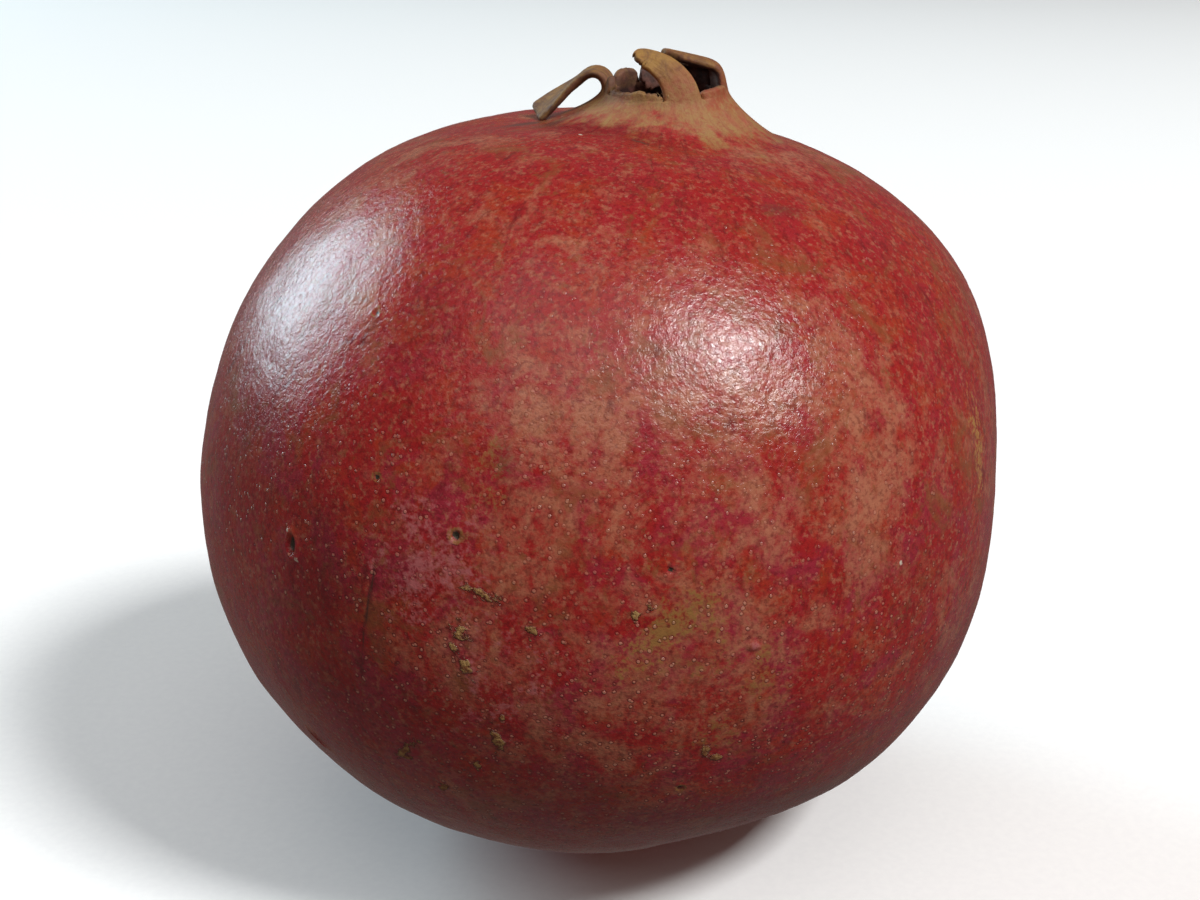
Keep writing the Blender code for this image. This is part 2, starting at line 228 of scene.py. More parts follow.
LOBES = (
    Lobe(
        8, 23, 9.2, 13, taper=0.4, blunt=0.2, turn=-64, turns_from=0.12, turned_by=0.5, thick=1.35,
        brown=0.7, blush=0.5, faded=0.2,
    ),
    Lobe(53, 22, 4.3, 9, taper=0.25, blunt=0.12, turn=-85, turns_from=0.15, ragged=0.12, brown=0.9),
    Lobe(
        95.5, 20.5, 5.4, 9, taper=0.5, turn=-150, turns_from=0.05, turned_by=0.75, sway=30,
        brown=0.8, dusky=0.9,
    ),
    Lobe(134.5, 18.5, 1.4, 9, taper=0.3, blunt=0.4, ragged=0.1, brown=0.8, faded=0.4),
    Lobe(
        172.5, 19.5, 9.2, 11, taper=0.1, blunt=0.03, turn=143, turns_from=-0.05, turned_by=0.3,
        roll=3, twist=26, ragged=0.02, thick=1.15, brown=0.65, faded=0.9, dusky=0.7,
    ),
    Lobe(199, 7, 1.7, 5, taper=0.5, blunt=0.5, ragged=0.5, brown=0.8, faded=0.5),
    Lobe(236.25, 30.25, 0.75, 11, taper=0, blunt=0, ragged=0.8, brown=0.6, faded=0.3),
    Lobe(
        285.5, 19, 9.7, 11, taper=0.6, taper_power=0.85, slant=-0.7, blunt=0.15, turn=-38, sway=-90,
        hook=-80, hooks_from=0.72, blush=0.3, brown=0.2,
    ),
    Lobe(324.75, 20.25, 0.7, 9, taper=0, blunt=0.1, ragged=0.15, brown=0.2, blush=0.7),
)


@dataclass(frozen=True)
class Crown:
    """The neck, the calyx cup and its lobes."""

    foot_polar: float = math.radians(17.5)
    foot_pull: float = 4.5 * MM
    rim_pull: float = 4.5 * MM
    rim_height: float = 45.6 * MM
    rim_radius: float = 7.1 * MM
    rear_rim_rise: float = 1.0 * MM
    rear_rim: float = math.radians(75)
    rim_slope: float = math.radians(14)
    upright: float = math.radians(8)
    wall: float = 1.1 * MM
    lobe_thinning: float = 0.35
    thinned_by: float = 2.5 * MM
    edge_power: float = 8
    lip_rounding: float = 0.35
    cup_depth: float = 7.5 * MM
    cup_floor_radius: float = 5.0 * MM
    cup_floor_rise: float = 0.3 * MM
    row_power: float = 1.3
    stations: int = 160
    lobes: tuple[Lobe, ...] = LOBES
    curls: list[tuple[np.ndarray, np.ndarray, np.ndarray]] = field(default_factory=list)

    def __post_init__(self) -> None:
        """Works out how each lobe curls."""
        self.curls.extend(self.curl(lobe) for lobe in self.lobes)

    def placed(self, points: np.ndarray) -> np.ndarray:
        """Points given from the rim's centre, brought into the fruit's frame."""
        return points @ turning(-self.upright, "Y").T + [0, 0, self.rim_height]

    def direction(self, azimuth: np.ndarray) -> np.ndarray:
        """The way up the calyx wall at the rim."""
        return -math.sin(self.rim_slope) * radial(azimuth) + [0, 0, math.cos(self.rim_slope)]

    def normal(self, azimuth: np.ndarray) -> np.ndarray:
        """The way out of the calyx wall at the rim."""
        return math.cos(self.rim_slope) * radial(azimuth) + [0, 0, math.sin(self.rim_slope)]

    def rim(self, azimuth: np.ndarray) -> np.ndarray:
        """The outer edge of the calyx wall where the lobes begin, from the rim's centre."""
        rise = self.rear_rim_rise * (1 + np.cos(azimuth - self.rear_rim)) / 2
        return self.rim_radius * radial(azimuth) + rise[:, None] * self.direction(azimuth)

    @staticmethod
    def hermite(
        start: np.ndarray, start_slope: np.ndarray, end: np.ndarray, end_slope: np.ndarray, t: float
    ) -> np.ndarray:
        """The points at t on the curves that leave start and reach end with these slopes.

        Args:
            start: Points where the curves begin.
            start_slope: Their directions there, as long as their pull.
            end: Points where the curves end.
            end_slope: Their directions there.
            t: How far along the curves, from 0 to 1.

        Returns:
            The points.
        """
        return (
            (2 * t**3 - 3 * t**2 + 1) * start
            + (t**3 - 2 * t**2 + t) * start_slope
            + (3 * t**2 - 2 * t**3) * end
            + (t**3 - t**2) * end_slope
        )

    def neck(self, body: Body, azimuth: np.ndarray, t: float) -> np.ndarray:
        """The outside of the neck, from the body at t = 0 to the rim at t = 1.

        Args:
            body: The body that the neck rises from.
            azimuth: Angles about the axis, in radians.
            t: How far up the neck.

        Returns:
            The points, in the fruit's frame.
        """
        step = math.radians(1)
        foot = body.points(azimuth, self.foot_polar)
        slope = body.points(azimuth, self.foot_polar - step) - body.points(azimuth, self.foot_polar + step)
        slope /= np.linalg.norm(slope, axis=1)[:, None]
        rim_slope = self.direction(azimuth) @ turning(-self.upright, "Y").T
        points = self.hermite(
            foot, self.foot_pull * slope, self.placed(self.rim(azimuth)), self.rim_pull * rim_slope, t
        )
        # Fine folds run up the neck and soften towards the body and the rim.
        places = np.column_stack([6 * radial(azimuth)[:, :2], np.full(len(azimuth), 1.5 * t)])
        fold = 0.2 * MM * t * (1 - t) * (1.5 - t) * waviness(places, 1.1, 3)
        return points + fold[:, None] * radial(azimuth)

    def cup_wall(self, azimuth: np.ndarray, t: float) -> np.ndarray:
        """The inside of the cup, from the rim at t = 0 to the edge of its floor at t = 1.

        Args:
            azimuth: Angles about the axis, in radians.
            t: How far down the wall, from 0 to 1.

        Returns:
            The points, in the fruit's frame.
        """
        rim = self.rim(azimuth) - self.wall * self.normal(azimuth)
        floor = self.cup_floor_radius * radial(azimuth) - [0, 0, self.cup_depth]
        inwards = -2 * self.cup_floor_radius * radial(azimuth)
        return self.placed(self.hermite(rim, -self.cup_depth * self.direction(azimuth), floor, inwards, t))

    def cup_floor(self, azimuth: np.ndarray, t: float) -> np.ndarray:
        """The floor of the cup, from its edge at t = 0 to its middle at t = 1."""
        rise = self.cup_floor_rise * math.sin(math.pi / 2 * t)
        return self.placed(self.cup_floor_radius * (1 - t) * radial(azimuth) + [0, 0, rise - self.cup_depth])

    def curl(self, lobe: Lobe) -> tuple[np.ndarray, np.ndarray, np.ndarray]:
        """How one lobe curls.

        Args:
            lobe: The lobe.

        Returns:
            Heights along the lobe, and the middle line and the 3x3 turn at each.
        """
        height = np.linspace(0, lobe.length * MM, self.stations)
        middle = np.array([math.radians(lobe.azimuth)])
        out, up = self.normal(middle)[0], self.direction(middle)[0]
        base = np.column_stack([np.cross(up, out), out, up])
        turns = []
        for share in height / height[-1]:
            curled = smooth((share - lobe.turns_from) / (lobe.turned_by - lobe.turns_from))
            twisted = smooth((share - lobe.turned_by) / max(1 - lobe.turned_by, 0.01))
            hooked = smooth((share - lobe.hooks_from) / (1 - lobe.hooks_from))
            local = (
                turning(-math.radians(lobe.turn * curled), "X")
                @ turning(math.radians(lobe.sway * share + lobe.hook * hooked), "Y")
                @ turning(math.radians(lobe.roll * curled + lobe.twist * twisted), "Z")
            )
            turns.append(base @ local @ base.T)
        stacked = np.array(turns)
        step = height[1] - height[0]
        line = np.cumsum(stacked @ up * step, axis=0) - stacked[0] @ up * step
        return height, self.rim(middle)[0] + line, stacked

    def lobe_points(
        self, number: int, across: np.ndarray, share: float, side: float, over: float
    ) -> np.ndarray:
        """Points on one lobe.

        Args:
            number: The lobe's place in the crown.
            across: Places over its width, from -1 to 1.
            share: How far they lie from the rim (0) to its end (1).
            side: -1 on its outer face and 1 on its inner face.
            over: How far they stand past its end, as a share of the end's rounding.

        Returns:
            The points, in the fruit's frame.
        """
        lobe, (heights, line, turns) = self.lobes[number], self.curls[number]
        flat = np.zeros_like(across)
        notched = waviness(np.column_stack([4 * across, flat, flat + number]), 1.0, 5, 4)
        ragged = 1 - lobe.ragged * np.clip(0.5 - 0.9 * notched, 0, 1)
        at = share**self.row_power * heights[-1] * (1 - lobe.blunt * np.abs(across) ** 3) * ragged
        middle = np.stack([np.interp(at, heights, line[:, i]) for i in range(3)], -1)
        turn = np.stack([np.interp(at, heights, turns[:, i // 3, i % 3]) for i in range(9)], -1)
        lost = lobe.taper * (at / heights[-1]) ** lobe.taper_power
        sides = np.column_stack([flat + np.sign(across), at / MM, flat + number])
        wander = 0.05 * share * waviness(sides, 1.6, 8)
        place = (across + wander * np.abs(across)) * (1 - lost) + lobe.slant * lost
        around = math.radians(lobe.azimuth) + math.radians(lobe.half_width) * place
        # The rim keeps its full thickness. Above it a lobe's faces meet along its sides.
        full = np.ones_like(across)
        if share > 0:
            full = np.sqrt(np.maximum(1 - np.abs(across) ** self.edge_power, 0))
        thinned = smooth(at / self.thinned_by)
        thick = self.wall * (1 - self.lobe_thinning * thinned) * (1 + (lobe.thick - 1) * thinned)
        inset = thick * (1 + side * full) / 2
        # A dry lobe is ribbed along its length and crinkled towards its end.
        ribs = waviness(np.column_stack([5 * across, 0.35 * at / MM, flat + number]), 1.0, 11, 3)
        inset = inset + 0.09 * MM * ribs * full * smooth(at / (4 * MM)) * (1 - 0.5 * share)
        beyond = self.lip_rounding * thick * full * over
        offset = self.rim(around) - self.rim(np.array([math.radians(lobe.azimuth)]))
        offset += beyond[:, None] * self.direction(around) - inset[:, None] * self.normal(around)
        return self.placed(middle + np.einsum("nij,nj->ni", turn.reshape(-1, 3, 3), offset))


# ---- marks on the skin ---------------------------------------------------------------------------


class Trait(Enum):
    """What is stored at each point of the skin for its material to read."""

    NECK = "up_neck"  # 0 at the neck's foot, 1 at the rim and -1 well down the body
    LOBE = "up_lobe"  # 0 at the rim, 1 at a long lobe's end
    LINING = "lining"  # 1 inside the cup and on a lobe's inner face
    BROWN = "dry_brown"  # how dry and brown a lobe is
    BLUSH = "blush"  # how red a lobe still is
    ALONG = "along"  # mm from the stem scar along the skin
    PIT = "pit"
    CORK = "cork"
    PALE = "pale"
    TAN = "tan"
    GOLD = "gold"
    OLIVE = "olive"
    # deep red and dark areas, partly the rind's own colour and partly painted shade low on the fruit
    DEEP_AND_SHADE = "deep"
    # pink blushes, and a painted sheen where wrinkled skin reflects a lamp
    ROSE_AND_SHEEN = "rose_and_sheen"
    # dark stains and cracks, and a painted shadow that the arching lobe casts on the rind
    STAIN_AND_SHADOW = "stain_and_shadow"


RING_TRAITS = (Trait.NECK, Trait.LOBE, Trait.LINING, Trait.BROWN, Trait.BLUSH)
MARK_TRAITS = (
    Trait.PIT,
    Trait.CORK,
    Trait.PALE,
    Trait.TAN,
    Trait.GOLD,
    Trait.OLIVE,
    Trait.DEEP_AND_SHADE,
    Trait.ROSE_AND_SHEEN,
    Trait.STAIN_AND_SHADOW,
)


@dataclass(frozen=True)
class Mark:
    """A blemish of the skin that has a shape of its own as well as a colour."""

    azimuth: float
    polar: float
    radius: float  # mm
    rise: float  # mm, negative for a pit
    trait: Trait
    strength: float = 1.0
    length: float = 1.0  # of its long way, as a multiple of its radius
    heading: float = 0.0  # degrees of its long way from the meridian
    collar: float = 0.0  # mm that the skin around it stands up
    halo: float = 0.0  # how strongly an olive ring surrounds it

    @property
    def uneven(self) -> float:
        """How uneven its outline is: scabs are ragged, the rest is round."""
        return 0.8 if self.trait is Trait.CORK else 0.2

    @property
    def falloff(self) -> int:
        """How sharply it ends: scabs thin out into crumbs, the rest has an edge."""
        return 2 if self.trait is Trait.CORK else 4


@dataclass(frozen=True)
class Patch:
    """A soft area of colour on the skin."""

    azimuth: float
    polar: float
    width: float  # mm
    height: float  # mm, along the meridian
    trait: Trait
    strength: float = 1.0
    heading: float = 0.0  # degrees that its long way leans from the meridian


MARKS = (
    Mark(251.1, 80.3, 0.42, -0.3, Trait.PIT, collar=0.08, halo=1.0),
    Mark(239.7, 76.5, 0.3, -0.2, Trait.PIT, collar=0.05, halo=0.9),
    Mark(229.6, 58.6, 0.3, -0.15, Trait.PIT, strength=0.7, collar=0.06, halo=0.6),
    Mark(227.8, 62.6, 0.26, -0.15, Trait.PIT, strength=0.6, collar=0.05, halo=0.5),
    Mark(228.6, 88.9, 0.5, -0.5, Trait.PIT, length=1.7, heading=15, collar=0.15),
    Mark(227.4, 87.3, 0.24, 0.12, Trait.PALE, length=1.4, heading=40),
    Mark(229.9, 90.3, 0.2, 0.1, Trait.PALE, length=1.3, heading=-30),
    Mark(276.7, 79.7, 0.3, -0.25, Trait.PIT, collar=0.05, halo=0.3),
    Mark(274.1, 79.7, 0.4, 0.05, Trait.OLIVE, strength=0.8),
    Mark(275.6, 81.2, 0.3, -0.1, Trait.PALE, strength=0.35),
    Mark(284.4, 110.6, 0.3, -0.3, Trait.PIT, collar=0.06, halo=1.0),
    Mark(226.6, 121.5, 0.4, -0.35, Trait.PIT, length=2.6, heading=60, collar=0.1),
    Mark(288.2, 88.3, 0.5, 0.2, Trait.ROSE_AND_SHEEN, strength=0.85, length=1.3, heading=80, collar=-0.05),
    Mark(309.0, 79.4, 0.26, 0.06, Trait.PALE, strength=0.8, length=1.4),
    Mark(255.3, 86.2, 0.4, 0.1, Trait.CORK, length=3.8, heading=75),
    Mark(253.4, 91.9, 0.6, 0.12, Trait.CORK, length=1.3),
    Mark(254.5, 95.9, 0.55, 0.12, Trait.CORK, length=1.5, heading=60),
    Mark(253.0, 93.9, 0.3, 0.08, Trait.CORK, length=2.0, heading=20),
    Mark(261.9, 89.6, 0.35, 0.08, Trait.CORK, length=1.8, heading=70),
    Mark(273.5, 85.7, 0.3, 0.06, Trait.CORK, strength=0.8, length=1.3),
    Mark(274.9, 84.3, 0.25, 0.06, Trait.CORK, strength=0.8, length=1.3),
    Mark(259.4, 106.2, 0.5, 0.1, Trait.CORK, length=2.6, heading=8),
    Mark(259.8, 102.2, 0.3, 0.08, Trait.CORK, length=1.8),
    Mark(246.5, 112.5, 0.5, 0.1, Trait.CORK, length=2.8, heading=-35),
    Mark(256.8, 111.3, 0.4, 0.08, Trait.CORK, length=1.7),
    Mark(251.9, 118.4, 0.4, 0.08, Trait.CORK, length=2.2, heading=-40),
    Mark(285.7, 103.3, 0.5, 0.1, Trait.CORK, length=1.4),
    Mark(287.3, 104.7, 0.35, 0.08, Trait.CORK, length=1.6, heading=50),
    Mark(185.1, 14.6, 0.2, 0.1, Trait.PALE),
    Mark(232.0, 18.8, 0.22, 0.1, Trait.PALE, length=1.4, heading=70),
    Mark(259.2, 17.2, 0.2, -0.05, Trait.STAIN_AND_SHADOW, length=6.0, heading=75),
    Mark(241.5, 92.0, 0.16, -0.12, Trait.STAIN_AND_SHADOW, strength=0.8, length=42.0, heading=-4),
    Mark(30.0, 70.0, 0.4, -0.3, Trait.PIT, collar=0.08, halo=0.8),
    Mark(75.0, 95.0, 0.6, 0.1, Trait.CORK, length=2.4, heading=30),
    Mark(77.0, 98.0, 0.4, 0.1, Trait.CORK, length=1.5, heading=-10),
    Mark(88.0, 60.0, 0.4, 0.08, Trait.CORK, length=2.0, heading=-50),
    Mark(120.0, 82.0, 0.4, -0.3, Trait.PIT, collar=0.08, halo=0.8),
    Mark(145.0, 108.0, 0.5, 0.1, Trait.CORK, length=2.4, heading=15),
    Mark(168.0, 74.0, 0.35, -0.2, Trait.PIT, collar=0.06, halo=0.7),
    Mark(350.0, 112.0, 0.5, 0.08, Trait.CORK, length=2.0, heading=-20),
)

PATCHES = (
    Patch(331.0, 68.0, 2.0, 6.0, Trait.GOLD, 0.75),
    Patch(277.5, 87.0, 3.0, 8.0, Trait.OLIVE, 0.72, -45),
    Patch(277.0, 87.5, 2.2, 7.0, Trait.GOLD, 0.55, -45),
    Patch(300.6, 31.9, 4.5, 1.0, Trait.STAIN_AND_SHADOW, 0.55),
    Patch(285.0, 91.0, 4.0, 3.5, Trait.OLIVE, 0.5),
    Patch(290.5, 92.0, 3.5, 4.0, Trait.OLIVE, 0.5, 20),
    Patch(287.0, 100.5, 2.5, 4.0, Trait.OLIVE, 0.55, -30),
    Patch(294.0, 108.0, 6.0, 6.0, Trait.DEEP_AND_SHADE, 0.6),
    Patch(253.5, 71.9, 2.0, 4.5, Trait.OLIVE, 0.45, 15),
    Patch(255.0, 70.5, 1.4, 3.0, Trait.STAIN_AND_SHADOW, 0.4, 15),
    Patch(289.0, 63.0, 8.0, 10.0, Trait.TAN, 0.9),
    Patch(303.0, 69.0, 4.5, 9.0, Trait.TAN, 0.9),
    Patch(266.0, 64.0, 10.0, 8.0, Trait.TAN, 0.6),
    Patch(250.0, 52.0, 5.0, 5.0, Trait.TAN, 0.5),
    Patch(328.0, 89.0, 3.0, 7.0, Trait.TAN, 0.8, -20),
    # painted sheen: a pale pink reflection on wrinkled skin
    Patch(248.5, 85.0, 6.0, 7.0, Trait.ROSE_AND_SHEEN, 0.6, 20),
    # painted shadow of the outward-arching lobe on the rind beside its foot, with some dark stain
    Patch(197.0, 16.5, 3.6, 1.6, Trait.STAIN_AND_SHADOW, 0.7, -60),
    Patch(188.0, 20.2, 3.4, 1.2, Trait.STAIN_AND_SHADOW, 0.85, -70),
    Patch(194.0, 13.0, 2.6, 1.8, Trait.STAIN_AND_SHADOW, 0.5, -60),
    Patch(259.0, 98.0, 9.0, 9.0, Trait.ROSE_AND_SHEEN, 0.36),
    Patch(238.0, 58.0, 8.0, 12.0, Trait.DEEP_AND_SHADE, 0.6),
    Patch(238.0, 15.0, 22.0, 4.5, Trait.DEEP_AND_SHADE, 0.75),
    Patch(259.0, 17.5, 12.0, 3.0, Trait.DEEP_AND_SHADE, 0.5),
    Patch(240.0, 38.0, 14.0, 7.0, Trait.DEEP_AND_SHADE, 0.35),
    Patch(256.0, 30.0, 24.0, 5.0, Trait.DEEP_AND_SHADE, 0.5),
    Patch(290.0, 29.0, 16.0, 5.0, Trait.DEEP_AND_SHADE, 0.4),
    Patch(322.0, 42.0, 10.0, 9.0, Trait.DEEP_AND_SHADE, 0.5),
    # darker lower left flank: partly the rind's own colour, partly painted shade
    Patch(233.0, 90.0, 9.0, 13.0, Trait.DEEP_AND_SHADE, 0.7),
    Patch(236.0, 106.0, 12.0, 8.0, Trait.DEEP_AND_SHADE, 0.6),
    Patch(213.0, 84.0, 18.0, 24.0, Trait.DEEP_AND_SHADE, 0.6),
    Patch(338.0, 96.0, 10.0, 20.0, Trait.DEEP_AND_SHADE, 0.5),
    Patch(312.0, 85.0, 8.0, 14.0, Trait.DEEP_AND_SHADE, 0.5),
)


# ---- the skin ------------------------------------------------------------------------------------


class Stage(Enum):
    """The stretches of the skin, in their order from the stem scar to the middle of the cup."""

    BODY = "body"
    NECK = "neck"
    LOBE = "lobe"
    LIP = "lip"
    LINING = "lining"
    WALL = "wall"
    FLOOR = "floor"


ROWS = {
    Stage.BODY: 140,
    Stage.NECK: 22,
    Stage.LOBE: 34,
    Stage.LIP: 6,
    Stage.LINING: 34,
    Stage.WALL: 14,
    Stage.FLOOR: 8,
}


@dataclass
class Skin:
    """The rind with its neck, cup and lobes: one skin without a seam, shaped from a UV sphere."""

    body: Body
    crown: Crown
    centre: tuple[float, float, float] = (-0.2 * MM, 0.0, 42.15 * MM)
    lean: float = math.radians(9)
    flat_spot_blend: float = 0.05 * MM
    fineness: float = 3.5
    mark_margin: float = 1.3  # mm around a mark where the mesh is finer
    base_row_power: float = 1.1
    sewing_distance: float = 1e-7
    dries_by: float = 3.0  # mm of length by which a lobe's end is as dry as the longest ones'
    dusky_from: float = 0.25  # share of a lobe above which its outer face is as dusky as it gets
    collar_at: float = 1.5  # radii from a mark's middle
    halo_at: float = 1.45
    ring_width: float = 0.5
    halo_strength: float = 1.2
    # darker towards the bottom: partly the rind's own colour, partly painted shade
    base_shade: float = 0.12
    base_shade_from: float = math.radians(94)
    base_shade_over: float = math.radians(40)
    relief_fades_over: float = math.radians(6)
    neck_seen_from: float = math.radians(13)  # below its foot
    # Soft bumps of the whole skin: height in mm, width in radians and the seed of the pattern.
    waves: tuple[tuple[float, float, int], ...] = ((0.22, 0.35, 1), (0.07, 0.1, 2), (0.025, 0.035, 4))
    marks: tuple[Mark, ...] = MARKS
    patches: tuple[Patch, ...] = PATCHES

    def __post_init__(self) -> None:
        """Lays out the columns of the mesh, which stand closer together near the sides of a lobe."""
        counts = [round(lobe.columns * self.fineness) for lobe in self.crown.lobes]
        self.owners = np.concatenate([np.full(count, number) for number, count in enumerate(counts)])
        spread = [np.sin(np.linspace(-math.pi / 2, math.pi / 2, count)) for count in counts]
        self.across = np.concatenate(spread)
        middles = self.by_column(lambda lobe: lobe.azimuth)
        widths = self.by_column(lambda lobe: lobe.half_width)
        self.rim_azimuths = np.radians(middles + widths * self.across)
        even = np.linspace(0, 2 * math.pi, len(self.owners), endpoint=False)
        self.body_azimuths = even + np.mean(self.rim_azimuths - even)

    def by_column(self, value: Callable[[Lobe], float]) -> np.ndarray:
        """What value gives for the lobe of each column of the mesh."""
        return np.array([value(lobe) for lobe in self.crown.lobes])[self.owners]

    def to_world(self, points: np.ndarray) -> np.ndarray:
        """From the fruit's own frame to the world."""
        return points @ turning(self.lean, "Y").T + self.centre

    def pressed(self, world: np.ndarray) -> np.ndarray:
        """World points with the skin pressed flat where the fruit rests.

        Args:
            world: Points in the world.

        Returns:
            The points, none of them below the floor.
        """
        height, blend = world[:, 2], self.flat_spot_blend
        soft = (height + blend) ** 2 / (4 * blend)
        flat = np.where(height > blend, height, np.where(height > -blend, soft, 0))
        return np.column_stack([world[:, :2], flat])

    def lobe_ring(self, share: float, side: float, over: float) -> np.ndarray:
        """One ring of points over all the lobes.

        Args:
            share: How far the ring lies from the rim (0) to the lobes' ends (1).
            side: -1 on the outer faces and 1 on the inner ones.
            over: How far it stands past the ends, as a share of their rounding.

        Returns:
            The points, in the fruit's frame.
        """
        return np.concatenate(
            [
                self.crown.lobe_points(number, self.across[self.owners == number], share, side, over)
                for number in range(len(self.crown.lobes))
            ]
        )

    def ring(self, stage: Stage, t: float) -> np.ndarray:
        """One ring of the skin, in the fruit's frame. t runs from 0 to 1 through each stage.

        Args:
            stage: The stretch of the skin.
            t: How far through it, from 0 to 1.

        Returns:
            The points, in the fruit's frame.
        """
        if stage is Stage.BODY:
            foot = self.crown.foot_polar
            polar = math.pi + (foot - math.pi) * t**self.base_row_power
            gather = smooth((math.pi / 2 - polar) / (math.pi / 2 - foot))
            azimuth = self.body_azimuths + gather * (self.rim_azimuths - self.body_azimuths)
            return self.body.points(azimuth, polar)
        if stage is Stage.NECK:
            return self.crown.neck(self.body, self.rim_azimuths, t)
        if stage is Stage.LOBE:
            return self.lobe_ring(t, -1, 0)
        if stage is Stage.LIP:
            return self.lobe_ring(1, -math.cos(math.pi * t), math.sin(math.pi * t))
        if stage is Stage.LINING:
            return self.lobe_ring(1 - t, 1, 0)
        if stage is Stage.WALL:
            return self.crown.cup_wall(self.rim_azimuths, t)
        return self.crown.cup_floor(self.rim_azimuths, t)

    def traits(self, stage: Stage, t: float) -> dict[Trait, np.ndarray | float]:
        """What the material reads on one ring, apart from the marks.

        Args:
            stage: The stretch of the skin.
            t: How far through it, from 0 to 1.

        Returns:
            The value or the values of each trait.
        """
        on_lobe = stage in (Stage.LOBE, Stage.LIP, Stage.LINING)
        share = {Stage.LOBE: t, Stage.LIP: 1.0, Stage.LINING: 1 - t}.get(stage, 0.0)
        inside = {Stage.LIP: t, Stage.LINING: 1.0, Stage.WALL: 1.0, Stage.FLOOR: 1.0}.get(stage, 0.0)
        faded = self.by_column(lambda lobe: lobe.faded)
        tall = np.minimum(self.by_column(lambda lobe: lobe.length) / self.dries_by, 1)
        dusky = self.by_column(lambda lobe: lobe.dusky) * (1 - inside) * on_lobe
        return {
            Trait.NECK: 0.0 if stage is Stage.BODY else (t if stage is Stage.NECK else 1.0),
            Trait.LOBE: share * tall * on_lobe,
            Trait.LINING: inside * (1 - faded * on_lobe) + dusky * min(share / self.dusky_from, 1),
            Trait.BROWN: self.by_column(lambda lobe: lobe.brown),
            Trait.BLUSH: self.by_column(lambda lobe: lobe.blush),
        }

    def rings(self) -> list[tuple[Stage, float]]:
        """Every ring's stage and t, from the stem scar to the middle of the cup."""
        listed = [(stage, (i + 1) / count) for stage, count in ROWS.items() for i in range(count)]
        return [(Stage.BODY, 0.0), *listed]

    def sewn(self, skin: bmesh.types.BMesh, places: dict[bmesh.types.BMVert, tuple[int, int]]) -> None:
        """Takes out the webs between the lobes, then joins each lobe's two faces along its sides.

        Args:
            skin: The mesh to sew.
            places: The row and the column of each vertex.
        """
        first = ROWS[Stage.BODY] + ROWS[Stage.NECK]
        last = first + ROWS[Stage.LOBE] + ROWS[Stage.LIP] + ROWS[Stage.LINING]
        ends = {int(end) for end in np.flatnonzero(np.diff(np.append(self.owners, -1)))}
        webs = []
        for face in skin.faces:
            rows = [places[vertex][0] for vertex in face.verts]
            if min(rows) < first or max(rows) > last:
                continue
            columns = {places[vertex][1] for vertex in face.verts}
            if any(end in columns and (end + 1) % len(self.owners) in columns for end in ends & columns):
                webs.append(face)
        bmesh.ops.delete(skin, geom=webs, context="FACES_ONLY")
        bmesh.ops.remove_doubles(skin, verts=skin.verts, dist=self.sewing_distance)
        loose = [edge for edge in skin.edges if not edge.link_faces]
        bmesh.ops.delete(skin, geom=loose, context="EDGES")
        bmesh.ops.holes_fill(skin, edges=[edge for edge in skin.edges if edge.is_boundary], sides=0)

    def mesh(self) -> bpy.types.Mesh:
        """The finished skin as a mesh, with its traits stored at its points.

        Returns:
            The mesh, in the world's frame.
        """
        rings = self.rings()
        table = [self.ring(stage, t) for stage, t in rings]
        top, columns = len(table) - 1, len(self.owners)
        skin = bmesh.new()
        bmesh.ops.create_uvsphere(skin, u_segments=columns, v_segments=top, radius=1)
        on_body = skin.verts.layers.float.new("on_body")
        rim_azimuth = skin.verts.layers.float_vector.new("rim_azimuth")
        stored = {trait: skin.verts.layers.float.new(trait.value) for trait in RING_TRAITS}
        listed = [self.traits(stage, t) for stage, t in rings]
        around = radial(self.rim_azimuths)
        places = {}
        for vertex in skin.verts:
            x, y, z = vertex.co
            row = round((1 - math.acos(max(-1, min(1, z))) / math.pi) * top)
            column = 0 if row in (0, top) else round(math.atan2(y, x) / (2 * math.pi) * columns) % columns
            places[vertex] = (row, column)
            vertex.co = table[row][column]
            vertex[on_body] = float(rings[row][0] is Stage.BODY)
            vertex[rim_azimuth] = around[column]
            for trait, layer in stored.items():
                value = listed[row][trait]
                vertex[layer] = float(value if np.isscalar(value) else value[column])
        self.sewn(skin, places)
        self.refine(skin, on_body)
        bmesh.ops.recalc_face_normals(skin, faces=skin.faces)
        mesh = bpy.data.meshes.new("fruit_skin")
        skin.to_mesh(mesh)
        skin.free()
        self.finish(mesh)
        mesh.shade_smooth()
        return mesh

    def refine(self, skin: bmesh.types.BMesh, on_body: bmesh.types.BMLayerItem) -> None:
        """Cuts the mesh finer where a mark has a shape.

        Args:
            skin: The mesh to cut.
            on_body: The layer that is 1 on the body.
        """
        co = np.array([vertex.co[:] for vertex in skin.verts])
        skin.verts.index_update()
        direction = co / np.maximum(np.linalg.norm(co, axis=1), 1e-9)[:, None]
        near = np.zeros(len(co), bool)
        for mark in self.marks:
            place = self.local(direction, mark.azimuth, mark.polar, mark.heading)
            beyond = np.maximum(np.abs(place) - [mark.radius, mark.radius * mark.length], 0)
            near |= np.hypot(beyond[:, 0], beyond[:, 1]) < self.mark_margin
        faces = [
            face
            for face in skin.faces
            if all(vertex[on_body] == 1 and near[vertex.index] for vertex in face.verts)
        ]
        edges = {edge for face in faces for edge in face.edges}
        bmesh.ops.subdivide_edges(skin, edges=list(edges), cuts=3, use_grid_fill=True)

